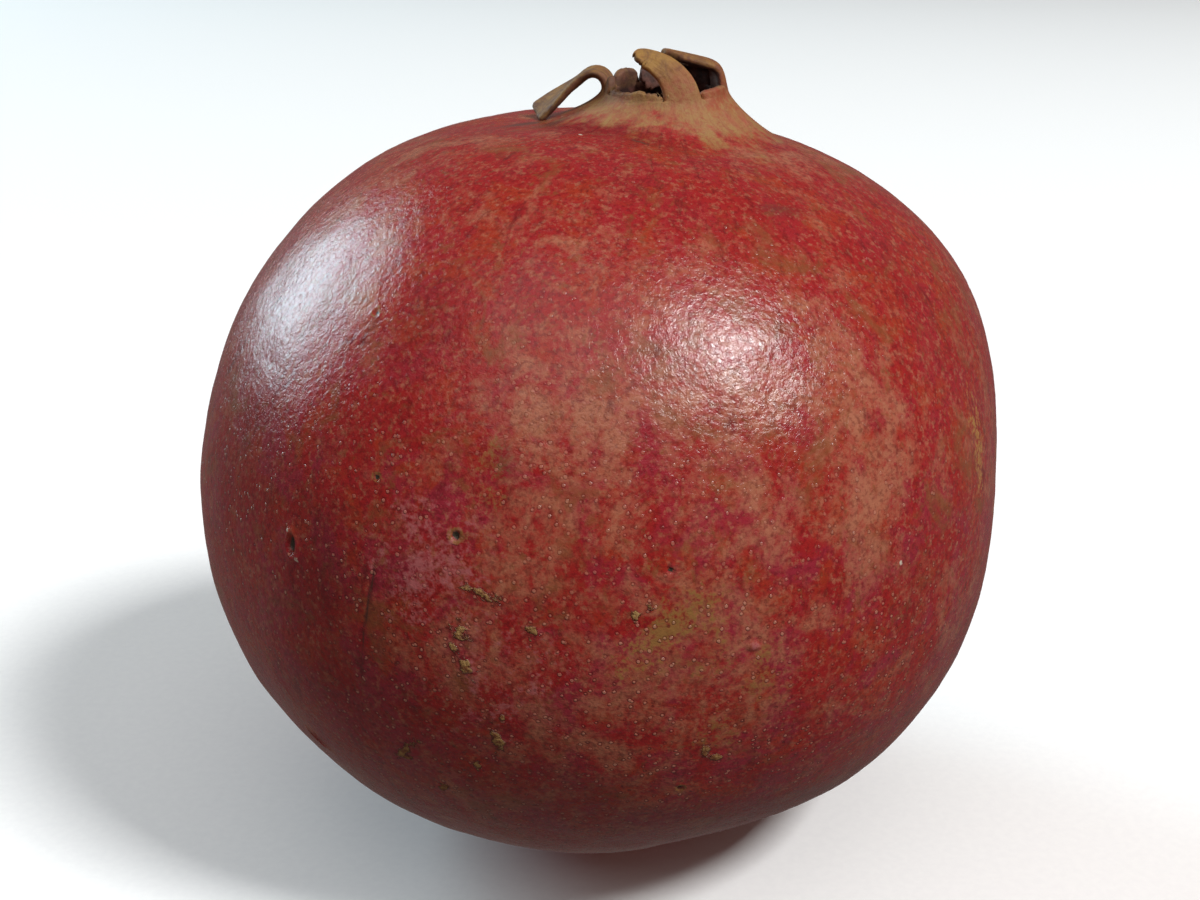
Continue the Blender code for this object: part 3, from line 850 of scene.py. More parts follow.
    def finish(self, mesh: bpy.types.Mesh) -> None:
        """Gives the mesh its relief and stores the rest of its traits.

        Args:
            mesh: The mesh to finish.
        """
        co = self.vectors(mesh.vertices, "co")
        body = self.stored(mesh, "on_body") > 0.999
        around = self.vectors(mesh.attributes["rim_azimuth"].data, "vector")
        distance = np.maximum(np.linalg.norm(co, axis=1), 1e-9)
        direction = co / distance[:, None]
        polar = np.arccos(np.clip(direction[:, 2], -1, 1))
        azimuth = np.arctan2(direction[:, 1], direction[:, 0])
        masks, relief = self.marked(direction)
        fade = np.where(body, smooth((polar - self.crown.foot_polar) / self.relief_fades_over), 0)
        bumps = [height * MM * waviness(direction, width, seed) for height, width, seed in self.waves]
        relief += fade * sum(bumps)
        smooth_radius = self.body.radius(azimuth, polar)
        co = np.where(body[:, None], direction * (smooth_radius + relief)[:, None], co)
        around = np.where(body[:, None], radial(azimuth), around)
        world = self.pressed(self.to_world(co))
        mesh.vertices.foreach_set("co", world.astype(np.float32).ravel())
        for trait, values in masks.items():
            self.store(mesh, trait.value, values)
        self.store(mesh, Trait.ALONG.value, (math.pi - polar) * self.body.equator_radius / MM)
        below_neck = np.clip((self.crown.foot_polar - polar) / self.neck_seen_from, -1, 0)
        self.store(mesh, Trait.NECK.value, np.where(body, below_neck, self.stored(mesh, Trait.NECK.value)))
        mesh.attributes.remove(mesh.attributes["rim_azimuth"])
        mesh.attributes.remove(mesh.attributes["on_body"])
        layer = mesh.attributes.new("around", "FLOAT_VECTOR", "POINT")
        layer.data.foreach_set("vector", around.astype(np.float32).ravel())

    @staticmethod
    def vectors(items: bpy.types.bpy_prop_collection, name: str) -> np.ndarray:
        """The vectors that the points of a mesh hold.

        Args:
            items: The mesh's vertices, or the values of one attribute.
            name: What they call the vector.

        Returns:
            N x 3 numbers.
        """
        values = np.empty(len(items) * 3, np.float32)
        items.foreach_get(name, values)
        return values.reshape(-1, 3).astype(float)

    @staticmethod
    def stored(mesh: bpy.types.Mesh, name: str) -> np.ndarray:
        """The values of one attribute.

        Args:
            mesh: The mesh that holds them.
            name: The attribute's name.

        Returns:
            One value for each point.
        """
        values = np.empty(len(mesh.vertices), np.float32)
        mesh.attributes[name].data.foreach_get("value", values)
        return values

    @staticmethod
    def store(mesh: bpy.types.Mesh, name: str, values: np.ndarray) -> None:
        """Stores one attribute."""
        layer = mesh.attributes.get(name) or mesh.attributes.new(name, "FLOAT", "POINT")
        layer.data.foreach_set("value", values.astype(np.float32))

    def local(self, direction: np.ndarray, azimuth: float, polar: float, heading: float) -> np.ndarray:
        """Where points lie about one place on the skin.

        Args:
            direction: Unit vectors to the points.
            azimuth: Of the place, in degrees.
            polar: Of the place, in degrees.
            heading: Degrees that the second axis leans from the meridian.

        Returns:
            Across and along, in mm, and far away where the point is on the other side.
        """
        centre = from_direction(azimuth, polar)
        east = np.cross([0, 0, 1], centre)
        east /= np.linalg.norm(east)
        north = np.cross(centre, east)
        flat = np.stack([direction @ east, direction @ north], -1) * self.body.equator_radius / MM
        turn = math.radians(heading)
        across = flat[:, 0] * math.cos(turn) + flat[:, 1] * math.sin(turn)
        along = -flat[:, 0] * math.sin(turn) + flat[:, 1] * math.cos(turn)
        behind = direction @ centre < 0
        return np.where(behind[:, None], 1e3, np.stack([across, along], -1))

    def marked(self, direction: np.ndarray) -> tuple[dict[Trait, np.ndarray], np.ndarray]:
        """The colour masks of all marks and patches, and the relief of the marks.

        Args:
            direction: Unit vectors to the points.

        Returns:
            The masks, and the relief in metres.
        """
        masks = {trait: np.zeros(len(direction)) for trait in MARK_TRAITS}
        relief = np.zeros(len(direction))
        uneven = waviness(direction, 0.016, 6, 3)
        for mark in self.marks:
            place = self.local(direction, mark.azimuth, mark.polar, mark.heading)
            off = np.hypot(place[:, 0], place[:, 1] / mark.length) / mark.radius
            off = off * (1 + mark.uneven * uneven)
            core = np.exp(-(off**mark.falloff))
            collar = np.exp(-(((off - self.collar_at) / self.ring_width) ** 2))
            halo = np.exp(-(((off - self.halo_at) / self.ring_width) ** 2))
            masks[mark.trait] = np.maximum(masks[mark.trait], mark.strength * core)
            masks[Trait.OLIVE] = np.maximum(masks[Trait.OLIVE], mark.halo * self.halo_strength * halo)
            relief += MM * (mark.rise * core + mark.collar * collar)
        for patch in self.patches:
            place = self.local(direction, patch.azimuth, patch.polar, patch.heading)
            off = np.hypot(place[:, 0] / patch.width, place[:, 1] / patch.height)
            masks[patch.trait] = np.maximum(masks[patch.trait], patch.strength * np.exp(-(off**2)))
        polar = np.arccos(np.clip(direction[:, 2], -1, 1))
        # darker towards the bottom: partly the rind's own colour, partly painted shade
        below = smooth((polar - self.base_shade_from) / self.base_shade_over)
        masks[Trait.DEEP_AND_SHADE] = np.maximum(masks[Trait.DEEP_AND_SHADE], self.base_shade * below)
        return masks, relief

    def build(self) -> bpy.types.Object:
        """The skin as an object that stands for the fruit's solid.

        Returns:
            The object.
        """
        skin = bpy.data.objects.new("fruit_skin", self.mesh())
        bpy.context.scene.collection.objects.link(skin)
        skin.data.materials.append(RindFinish().material())
        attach(skin, "root")
        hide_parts("fruit")
        log.info("fruit_skin: %d triangles", triangles(skin.data))
        return skin


# ---- finishes ------------------------------------------------------------------------------------


class Shader:
    """A material, and the short calls that build its pattern of nodes."""

    def __init__(self, name: str) -> None:
        """Starts a material that holds one Principled shader.

        Args:
            name: The material's name.
        """
        self.material = bpy.data.materials.new(name)
        self.material.use_nodes = True
        self.tree = self.material.node_tree
        self.tree.nodes.clear()
        self.surface = self.tree.nodes.new("ShaderNodeBsdfPrincipled")
        output = self.tree.nodes.new("ShaderNodeOutputMaterial")
        self.tree.links.new(self.surface.outputs[0], output.inputs["Surface"])

    def feed(self, target: Socket, value: Value) -> None:
        """Links a socket to a target, or sets the target to a plain value.

        Args:
            target: The socket to feed.
            value: A socket, a colour or a number.
        """
        if isinstance(value, Socket):
            self.tree.links.new(value, target)
        elif isinstance(value, tuple) and len(value) == 3 and target.type == "RGBA":
            target.default_value = (*value, 1)
        else:
            target.default_value = value

    def place(self) -> Socket:
        """The point's place on the object."""
        return self.tree.nodes.new("ShaderNodeTexCoord").outputs["Object"]

    def trait(self, name: str, vector: bool = False) -> Socket:
        """What the mesh stores under a name.

        Args:
            name: The attribute's name.
            vector: Whether it is a vector.

        Returns:
            Its socket.
        """
        node = self.tree.nodes.new("ShaderNodeAttribute")
        node.attribute_name = name
        return node.outputs["Vector" if vector else "Fac"]

    def maths(self, operation: str, first: Value, second: Value = 0.0, held: bool = False) -> Socket:
        """One step of arithmetic.

        Args:
            operation: Blender's name for the step.
            first: The first value.
            second: The second value.
            held: Whether the result is held between 0 and 1.

        Returns:
            The result.
        """
        node = self.tree.nodes.new("ShaderNodeMath")
        node.operation = operation
        node.use_clamp = held
        self.feed(node.inputs[0], first)
        self.feed(node.inputs[1], second)
        return node.outputs[0]

    def plus(self, first: Value, second: Value, held: bool = False) -> Socket:
        """The sum of two values, held between 0 and 1 if asked."""
        return self.maths("ADD", first, second, held)

    def minus(self, first: Value, second: Value) -> Socket:
        """The difference of two values."""
        return self.maths("SUBTRACT", first, second)

    def times(self, first: Value, second: Value, held: bool = False) -> Socket:
        """The product of two values, held between 0 and 1 if asked."""
        return self.maths("MULTIPLY", first, second, held)

    def larger(self, first: Value, second: Value) -> Socket:
        """The larger of two values."""
        return self.maths("MAXIMUM", first, second)

    def unsigned(self, value: Value) -> Socket:
        """The value without its sign."""
        return self.maths("ABSOLUTE", value)

    def scaled(self, vector: Value, scale: tuple[float, float, float]) -> Socket:
        """A vector stretched along its axes.

        Args:
            vector: The vector.
            scale: How far each axis is stretched.

        Returns:
            The stretched vector.
        """
        node = self.tree.nodes.new("ShaderNodeVectorMath")
        node.operation = "MULTIPLY"
        self.feed(node.inputs[0], vector)
        node.inputs[1].default_value = scale
        return node.outputs[0]

    def joined(self, x: Value, y: Value, z: Value) -> Socket:
        """A vector from its parts.

        Args:
            x: The first part.
            y: The second part.
            z: The third part.

        Returns:
            The vector.
        """
        node = self.tree.nodes.new("ShaderNodeCombineXYZ")
        for socket, value in zip(node.inputs, (x, y, z), strict=True):
            self.feed(socket, value)
        return node.outputs[0]

    def added(self, first: Value, second: Value) -> Socket:
        """The sum of two vectors.

        Args:
            first: The first vector.
            second: The second vector.

        Returns:
            Their sum.
        """
        node = self.tree.nodes.new("ShaderNodeVectorMath")
        self.feed(node.inputs[0], first)
        self.feed(node.inputs[1], second)
        return node.outputs[0]

    def cloudy(
        self, vector: Value, scale: float, detail: float = 3.0, rough: float = 0.55, bend: float = 0.0
    ) -> Socket:
        """Noise from 0 to 1.

        Args:
            vector: Where the noise is read.
            scale: How many waves fit in a metre.
            detail: How many finer waves ride on them.
            rough: How strong the finer waves are.
            bend: How far the pattern is bent.

        Returns:
            The noise.
        """
        node = self.tree.nodes.new("ShaderNodeTexNoise")
        self.feed(node.inputs["Vector"], vector)
        node.inputs["Scale"].default_value = scale
        node.inputs["Detail"].default_value = detail
        node.inputs["Roughness"].default_value = rough
        node.inputs["Distortion"].default_value = bend
        return node.outputs["Fac"]

    def dots(self, vector: Value, scale: float) -> tuple[Socket, ...]:
        """Distance to the nearest of many scattered points, and a random number for each.

        Args:
            vector: Where the pattern is read.
            scale: How many points fit in a metre.

        Returns:
            The distance to the nearest point and a random number for it.
        """
        node = self.tree.nodes.new("ShaderNodeTexVoronoi")
        self.feed(node.inputs["Vector"], vector)
        node.inputs["Scale"].default_value = scale
        return node.outputs["Distance"], node.outputs["Color"]

    def range(
        self, value: Value, low: float, high: float, to_low: float = 0.0, to_high: float = 1.0
    ) -> Socket:
        """A value eased from one range to another.

        Args:
            value: The value.
            low: Where it begins to change.
            high: Where it has changed.
            to_low: The result at low.
            to_high: The result at high.

        Returns:
            The eased value.
        """
        node = self.tree.nodes.new("ShaderNodeMapRange")
        node.interpolation_type = "SMOOTHSTEP"
        self.feed(node.inputs["Value"], value)
        names = ("From Min", "From Max", "To Min", "To Max")
        for name, number in zip(names, (low, high, to_low, to_high), strict=True):
            node.inputs[name].default_value = number
        return node.outputs["Result"]

    def mixed(self, factor: Value, first: Value, second: Value) -> Socket:
        """Two colours mixed.

        Args:
            factor: How much of the second there is.
            first: The first colour.
            second: The second colour.

        Returns:
            The mixed colour.
        """
        node = self.tree.nodes.new("ShaderNodeMix")
        node.data_type = "RGBA"
        self.feed(node.inputs["Factor"], factor)
        colours = [socket for socket in node.inputs if socket.type == "RGBA"]
        self.feed(colours[0], first)
        self.feed(colours[1], second)
        return next(socket for socket in node.outputs if socket.type == "RGBA")

    def bumped(
        self, height: Value, distance: float, strength: float, before: Socket | None = None
    ) -> Socket:
        """A normal tilted by a height pattern.

        Args:
            height: The pattern.
            distance: How high it stands, in metres.
            strength: How strongly it tilts the normal.
            before: The normal to tilt, where it isn't the surface's own.

        Returns:
            The tilted normal.
        """
        node = self.tree.nodes.new("ShaderNodeBump")
        node.inputs["Distance"].default_value = distance
        node.inputs["Strength"].default_value = strength
        self.feed(node.inputs["Height"], height)
        if before is not None:
            self.feed(node.inputs["Normal"], before)
        return node.outputs[0]


@dataclass(frozen=True)
class RindFinish:
    """The waxy rind: crimson, mottled with tan, dotted with pale pores, and dry towards the crown."""

    crimson: Colour = (0.3, 0.011, 0.011)
    raspberry: Colour = (0.28, 0.018, 0.034)
    brick: Colour = (0.32, 0.032, 0.01)
    umber: Colour = (0.2, 0.065, 0.02)
    # dark red, also used for the painted shade low on the fruit
    deep: Colour = (0.09, 0.005, 0.006)
    # pink, also used for a painted sheen on wrinkled skin
    rose_and_sheen: Colour = (0.4, 0.12, 0.12)
    tan: Colour = (0.375, 0.136, 0.075)
    grain: Colour = (0.5, 0.25, 0.17)
    gold: Colour = (0.38, 0.2, 0.05)
    olive: Colour = (0.25, 0.12, 0.035)
    # dark stain colour, also used for the painted shadow under the arching lobe
    stain_and_shadow: Colour = (0.075, 0.03, 0.022)
    cork: Colour = (0.34, 0.2, 0.065)
    pit: Colour = (0.045, 0.038, 0.025)
    pale: Colour = (0.55, 0.48, 0.38)
    neck: Colour = (0.3, 0.165, 0.056)
    neck_pink: Colour = (0.31, 0.115, 0.05)
    vein: Colour = (0.25, 0.06, 0.03)
    lobe_dry: Colour = (0.13, 0.055, 0.025)
    lobe_gold: Colour = (0.31, 0.165, 0.035)
    lobe_red: Colour = (0.3, 0.045, 0.014)
    lining_dark: Colour = (0.05, 0.02, 0.018)
    lining_pink: Colour = (0.17, 0.06, 0.045)

    def material(self) -> bpy.types.Material:
        """Builds the material.

        Returns:
            The material.
        """
        s = Shader("pomegranate_rind")
        place, around, along = s.place(), s.trait("around", True), s.trait(Trait.ALONG.value)
        grain, crumb = s.cloudy(place, 1900, 3, 0.6), s.cloudy(place, 1150, 4, 0.7)
        up, cork = s.trait(Trait.NECK.value), s.trait(Trait.CORK.value)
        colour = self.skin(s, place, along, self.meridian(s, around, along, 0.55), grain)
        colour, pore, ring = self.pores(s, place, along, colour, up)
        height = s.plus(s.times(up, 7.0), s.times(s.trait(Trait.LOBE.value), 9.0))
        vein = s.cloudy(self.meridian(s, around, height, 1.2), 300, 6, 0.72, 0.8)
        colour = self.crown(s, place, colour, up, vein, grain)
        # dark stains and cracks, and the painted shadow under the arching lobe
        stain_and_shadow_mask = s.plus(s.trait(Trait.STAIN_AND_SHADOW.value), s.times(s.minus(grain, 0.5), 0.8))
        stain_and_shadow_mask = s.times(s.range(stain_and_shadow_mask, 0.1, 0.8, 0, 0.8), s.range(s.trait(Trait.STAIN_AND_SHADOW.value), 0.02, 0.25))
        colour = s.mixed(stain_and_shadow_mask, colour, self.stain_and_shadow)
        worn = s.plus(s.times(cork, 1.1), s.times(s.minus(crumb, 0.5), 2.4))
        crust = s.times(s.range(worn, 0.35, 0.65), s.range(cork, 0.02, 0.3))
        edge = s.times(s.range(worn, 0.1, 0.4, 0, 0.7), s.range(cork, 0.02, 0.3))
        colour = s.mixed(edge, colour, self.deep)
        colour = s.mixed(crust, colour, s.mixed(s.range(grain, 0.38, 0.6), self.umber, self.cork))
        for trait, tint in ((Trait.PALE, self.pale), (Trait.PIT, self.pit)):
            worn = s.plus(s.trait(trait.value), s.times(s.minus(grain, 0.5), 1.2))
            mask = s.times(s.range(worn, 0.35, 0.75), s.range(s.trait(trait.value), 0.02, 0.3))
            colour = s.mixed(mask, colour, tint)
        s.feed(s.surface.inputs["Base Color"], colour)
        dull = s.larger(s.range(up, 0.0, 0.7, 0, 1), crust)
        rough = s.plus(s.times(dull, 0.45), s.range(grain, 0.3, 0.7, 0.2, 0.28))
        s.feed(s.surface.inputs["Roughness"], rough)
        s.surface.inputs["Specular IOR Level"].default_value = 0.42
        normal = s.bumped(s.cloudy(place, 1700, 4, 0.6, 0.5), 0.00017, 0.5)
        normal = s.bumped(s.cloudy(place, 420, 2, 0.5), 0.0004, 0.22, normal)
        normal = s.bumped(s.minus(pore, s.times(ring, 0.4)), 0.00008, 0.6, normal)
        normal = s.bumped(s.times(vein, s.range(up, 0.1, 1.0, 0.1)), 0.0004, 0.35, normal)
        normal = s.bumped(s.times(crust, crumb), 0.0005, 0.8, normal)
        s.feed(s.surface.inputs["Normal"], normal)
        return s.material

    @staticmethod
    def meridian(s: Shader, around: Value, along: Value, squeeze: float) -> Socket:
        """Coordinates whose patterns stretch along the meridians by the inverse of squeeze."""
        run = s.times(along, MM * squeeze)
        return s.added(s.scaled(around, (0.046, 0.046, 0)), s.joined(0.0, 0.0, run))

    def skin(self, s: Shader, place: Value, along: Value, meridian: Value, grain: Value) -> Socket:
        """The colours of the body: reds in clouds, tan mottling and the soft patches.

        Args:
            s: The material's pattern.
            place: The point's place.
            along: How far the point is from the stem scar, in mm.
            meridian: Coordinates that stretch along the meridians.
            grain: Fine noise.

        Returns:
            The colour.
        """
        cloud = s.range(s.cloudy(place, 170, 4, 0.6, 0.5), 0.42, 0.6)
        pink = s.times(cloud, s.range(along, 75, 108, 1, 0.25))
        colour = s.mixed(pink, self.crimson, self.raspberry)
        colour = s.mixed(s.range(s.cloudy(place, 230, 4, 0.62, 0.5), 0.5, 0.66, 0, 0.8), colour, self.brick)
        blotch = s.cloudy(place, 250, 5, 0.64, 0.7)
        fleck = s.cloudy(place, 640, 5, 0.7, 0.4)
        hatch = s.cloudy(meridian, 900, 4, 0.65)
        tan = s.plus(s.times(blotch, 0.42), s.times(s.cloudy(place, 75, 4, 0.62), 0.3))
        tan = s.plus(tan, s.times(fleck, 0.24))
        tan = s.plus(tan, s.times(hatch, 0.12))
        tan = s.plus(tan, s.times(s.trait(Trait.TAN.value), 0.075))
        tan = s.minus(tan, s.times(s.trait(Trait.DEEP_AND_SHADE.value), 0.14))
        colour = s.mixed(s.range(tan, 0.5, 0.655, 0, 0.9), colour, self.tan)
        colour = s.mixed(s.range(s.cloudy(place, 1300, 4, 0.7), 0.5, 0.68, 0, 0.65), colour, self.tan)
        colour = s.mixed(s.range(grain, 0.52, 0.36, 0, 0.42), colour, self.deep)
        colour = s.mixed(s.range(hatch, 0.53, 0.7, 0, 0.45), colour, self.crimson)
        colour = s.mixed(s.range(s.cloudy(place, 130, 5, 0.66, 0.8), 0.54, 0.7, 0, 0.7), colour, self.umber)
        colour = s.mixed(s.range(s.cloudy(place, 560, 4, 0.7, 0.5), 0.56, 0.7, 0, 0.6), colour, self.umber)
        dark = s.cloudy(meridian, 430, 5, 0.7, 0.3)
        dark = s.plus(dark, s.times(s.trait(Trait.DEEP_AND_SHADE.value), 0.1))
        colour = s.mixed(s.range(dark, 0.57, 0.78, 0, 0.7), colour, self.deep)
        # deep red and dark areas, with the painted shade low on the fruit and on its lower left flank
        colour = s.mixed(s.range(s.trait(Trait.DEEP_AND_SHADE.value), 0.35, 1.15, 0, 0.8), colour, self.deep)
        broken = s.plus(grain, s.cloudy(place, 420, 4, 0.65))
        # gold, olive and pink patches; the pink includes a painted sheen
        for trait, tint in (
            (Trait.GOLD, self.gold),
            (Trait.OLIVE, self.olive),
            (Trait.ROSE_AND_SHEEN, self.rose_and_sheen),
        ):
            mask = s.plus(s.trait(trait.value), s.times(s.minus(broken, 1.0), 1.8))
            mask = s.times(s.range(mask, 0.3, 0.9, 0, 0.85), s.range(s.trait(trait.value), 0.02, 0.25))
            colour = s.mixed(mask, colour, tint)
        return colour

    def pores(self, s: Shader, place: Value, along: Value, colour: Value, up: Value) -> tuple[Socket, ...]:
        """Small pale pores in thin dark rings, closest together on the lower half.

        Args:
            s: The material's pattern.
            place: The point's place.
            along: How far the point is from the stem scar, in mm.
            colour: The colour without pores.
            up: How far up the neck the point is.

        Returns:
            The colour with pores, the mask of the pores and that of their rings.
        """
        distance, chance = s.dots(place, 1150)
        distance = s.plus(distance, s.times(s.minus(s.cloudy(place, 2400, 2), 0.5), 0.3))
        here = s.times(s.range(chance, 0.2, 0.4), s.range(s.cloudy(place, 120, 2), 0.36, 0.58, 0.5, 1.0))
        here = s.times(here, s.range(along, 62, 100, 1, 0.3))
        here = s.times(here, s.range(up, -0.4, 0.1, 1, 0))
        ring = s.times(s.times(s.range(distance, 0.17, 0.23), s.range(distance, 0.36, 0.25)), here)
        pore = s.times(s.range(distance, 0.23, 0.12), here)
        colour = s.mixed(s.times(ring, 0.6), colour, self.deep)
        return s.mixed(s.times(pore, 0.72), colour, self.grain), pore, ring

    def crown(self, s: Shader, place: Value, colour: Value, up: Value, vein: Value, grain: Value) -> Socket:
        """The neck, the lobes and the inside of the cup.

        Args:
            s: The material's pattern.
            place: The point's place.
            colour: The colour of the body.
            up: How far up the neck the point is.
            vein: Streaks that run up the neck and the lobes.
            grain: Fine noise.

        Returns:
            The colour.
        """
        neck = s.mixed(s.range(s.cloudy(place, 520, 6, 0.74, 0.3), 0.45, 0.62), self.neck, self.neck_pink)
        neck = s.mixed(s.range(vein, 0.5, 0.68, 0, 0.6), neck, self.vein)
        neck = s.mixed(s.range(s.cloudy(place, 1150, 5, 0.78, 0.3), 0.5, 0.68, 0, 0.75), neck, self.vein)
        crack = s.unsigned(s.minus(s.cloudy(place, 300, 3, 0.6, 0.8), 0.5))
        neck = s.mixed(s.range(crack, 0.0, 0.012, 0.35, 0.0), neck, self.vein)
        speckle = s.range(s.cloudy(place, 1100, 5, 0.75), 0.36, 0.66)
        warm = s.times(s.times(s.trait(Trait.BLUSH.value), s.range(up, 0.35, 1.0, 0, 1.2)), speckle, True)
        neck = s.mixed(warm, neck, self.lobe_red)
        stained = s.times(s.times(s.trait(Trait.BROWN.value), s.range(up, 0.8, 1.0, 0, 0.7)), speckle)
        neck = s.mixed(stained, neck, self.lobe_dry)
        blurred = s.plus(s.cloudy(place, 230, 5, 0.7), s.times(s.cloudy(place, 700, 4, 0.7), 0.5))
        edge = s.plus(up, s.times(s.minus(blurred, 0.75), 2.4))
        edge = s.minus(edge, s.times(s.trait(Trait.DEEP_AND_SHADE.value), 0.5))
        colour = s.mixed(s.range(edge, -0.14, 0.62), colour, neck)
        uneven = s.times(s.minus(s.cloudy(place, 560, 5, 0.7, 0.5), 0.5), 3.8)
        brown = s.plus(s.times(s.trait(Trait.BROWN.value), 0.95), uneven)
        streak = s.times(s.minus(vein, 0.5), 1.0)
        dry = s.mixed(s.plus(brown, streak, True), self.lobe_gold, self.lobe_dry)
        share = s.trait(Trait.LOBE.value)
        red = s.times(s.trait(Trait.BLUSH.value), s.range(share, 0.1, 0.75, 1.3, 0.2))
        dry = s.mixed(s.times(s.plus(red, streak, True), 0.8), dry, self.lobe_red)
        dry = s.mixed(s.range(grain, 0.5, 0.75, 0, 0.5), dry, self.lobe_dry)
        share = s.plus(share, s.times(s.minus(s.trait(Trait.BROWN.value), 0.5), 0.6))
        share = s.times(s.plus(share, s.times(uneven, 0.1)), s.range(s.trait(Trait.LOBE.value), 0, 0.06))
        colour = s.mixed(s.range(share, 0.08, 0.42), colour, dry)
        pink = s.range(s.cloudy(place, 500, 4, 0.6), 0.42, 0.66)
        lining = s.mixed(pink, self.lining_dark, self.lining_pink)
        return s.mixed(s.trait(Trait.LINING.value), colour, lining)


@dataclass(frozen=True)
class DryFinish:
    """The dead brown threads in the cup and along the torn edge."""

    name: str
    dark: Colour
    light: Colour

    def material(self) -> bpy.types.Material:
        """Builds the material.

        Returns:
            The material.
        """
        s = Shader(self.name)
        place = s.place()
        colour = s.mixed(s.range(s.cloudy(place, 1300, 3, 0.6), 0.35, 0.65), self.dark, self.light)
        s.feed(s.surface.inputs["Base Color"], colour)
        s.surface.inputs["Roughness"].default_value = 0.8
        s.feed(s.surface.inputs["Normal"], s.bumped(s.cloudy(place, 3000, 2), 0.0001, 0.5))
        return s.material


# ---- the remains of the flower -------------------------------------------------------------------


def add_thread(bm: bmesh.types.BMesh, path: np.ndarray, radii: np.ndarray, sides: int = 6) -> None:
    """Adds a round thread with closed ends.

    Args:
        bm: The mesh to add it to.
        path: N x 3 points along its middle.
        radii: Its radius at each.
        sides: Of its cross-section.
    """
    along = np.gradient(path, axis=0)
    along /= np.linalg.norm(along, axis=1)[:, None]
    side = np.cross(along[0], [0.3, 0.5, 0.81])
    rings = []
    for point, way, radius in zip(path, along, radii, strict=True):
        side = side - way * (side @ way)
        side /= np.linalg.norm(side)
        other = np.cross(way, side)
        angles = np.linspace(0, 2 * math.pi, sides, endpoint=False)
        spokes = [math.cos(angle) * side + math.sin(angle) * other for angle in angles]
        rings.append([bm.verts.new(point + radius * spoke) for spoke in spokes])
    for lower, upper in zip(rings, rings[1:]):
        for i in range(sides):
            j = (i + 1) % sides
            bm.faces.new((lower[i], lower[j], upper[j], upper[i]))
    bm.faces.new(rings[0][::-1])
    bm.faces.new(rings[-1])


def threads_object(name: str, bm: bmesh.types.BMesh, finish: DryFinish) -> bpy.types.Object:
    """Turns threads into an object with its dry finish.

    Args:
        name: The object's name.
        bm: The mesh of the threads, which is freed.
        finish: What they are made of.

    Returns:
        The object.
    """
    bmesh.ops.recalc_face_normals(bm, faces=bm.faces)
    mesh = bpy.data.meshes.new(name)
    bm.to_mesh(mesh)
    bm.free()
    mesh.shade_smooth()
    mesh.materials.append(finish.material())
    thing = bpy.data.objects.new(name, mesh)
    bpy.context.scene.collection.objects.link(thing)
    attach(thing, "root")
    log.info("%s: %d triangles", name, triangles(mesh))
    return thing


@dataclass
class Stamens:
    """The withered stamens: curly threads on the floor of the cup, most of them with an anther."""

    skin: Skin
    count: int = 64
    inner: float = 2.0 * MM
    outer: float = 4.7 * MM
    height: float = 3.6 * MM
    radius: float = 0.13 * MM
    anther: float = 0.3 * MM
    anther_share: float = 0.8
    sunk: float = 0.15 * MM
    turn: float = 2.399963  # radians from one thread to the next, the golden angle
    stations: int = 12
    seed: int = 11
    finish: DryFinish = DryFinish("withered_stamens", (0.09, 0.04, 0.02), (0.3, 0.17, 0.07))

    def build(self) -> bpy.types.Object:
        """Builds them in place of the plain ring.

        Returns:
            The object.
        """
        rng = np.random.default_rng(self.seed)
        bm = bmesh.new()
        floor = -self.skin.crown.cup_depth
        for number in range(self.count):
            azimuth = number * self.turn + rng.uniform(-0.2, 0.2)
            reach = self.inner + (self.outer - self.inner) * math.sqrt((number + 0.5) / self.count)
            out = np.array([math.cos(azimuth), math.sin(azimuth), 0])
            side = np.cross([0, 0, 1], out)
            t = np.linspace(0, 1, self.stations)[:, None]
            lean = rng.uniform(-1.3, 0.5) * MM * out + rng.uniform(-0.9, 0.9) * MM * side
            tall = self.height * rng.uniform(0.65, 1.15)
            curl = rng.uniform(0.2, 0.55) * MM * t**1.5
            phase, winds = rng.uniform(0, 2 * math.pi), rng.uniform(2, 5.5)
            wound = phase + winds * t
            wave = np.hstack([np.cos(wound), np.sin(wound), 0.3 * np.sin(winds * t)])
            foot = reach * out + np.array([0, 0, floor - self.sunk])
            path = foot + t * [0, 0, tall] + t**2 * lean + curl * wave
            world = self.skin.to_world(self.skin.crown.placed(path))
            add_thread(bm, world, self.radius * np.linspace(1.1, 0.75, self.stations))
            if rng.random() < self.anther_share:
                self.add_anther(bm, world[-1], world[-1] - world[-2], rng.uniform(0.8, 1.2))
        tuft = threads_object("stamens_tuft", bm, self.finish)
        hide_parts("stamens")
        return tuft

    def add_anther(self, bm: bmesh.types.BMesh, tip: np.ndarray, way: np.ndarray, size: float) -> None:
        """Adds the shrivelled anther at the tip of one thread.

        Args:
            bm: The mesh to add it to.
            tip: The thread's end.
            way: The direction that the thread ends in.
            size: Its size, as a multiple of the usual one.
        """
        turn = Vector(way).to_track_quat("Z", "X").to_matrix().to_4x4()
        shape = Matrix.Diagonal((0.7, 0.45, 1.0, 1.0))
        place = Matrix.Translation(tip) @ turn @ shape
        bmesh.ops.create_uvsphere(bm, u_segments=8, v_segments=6, radius=self.anther * size, matrix=place)


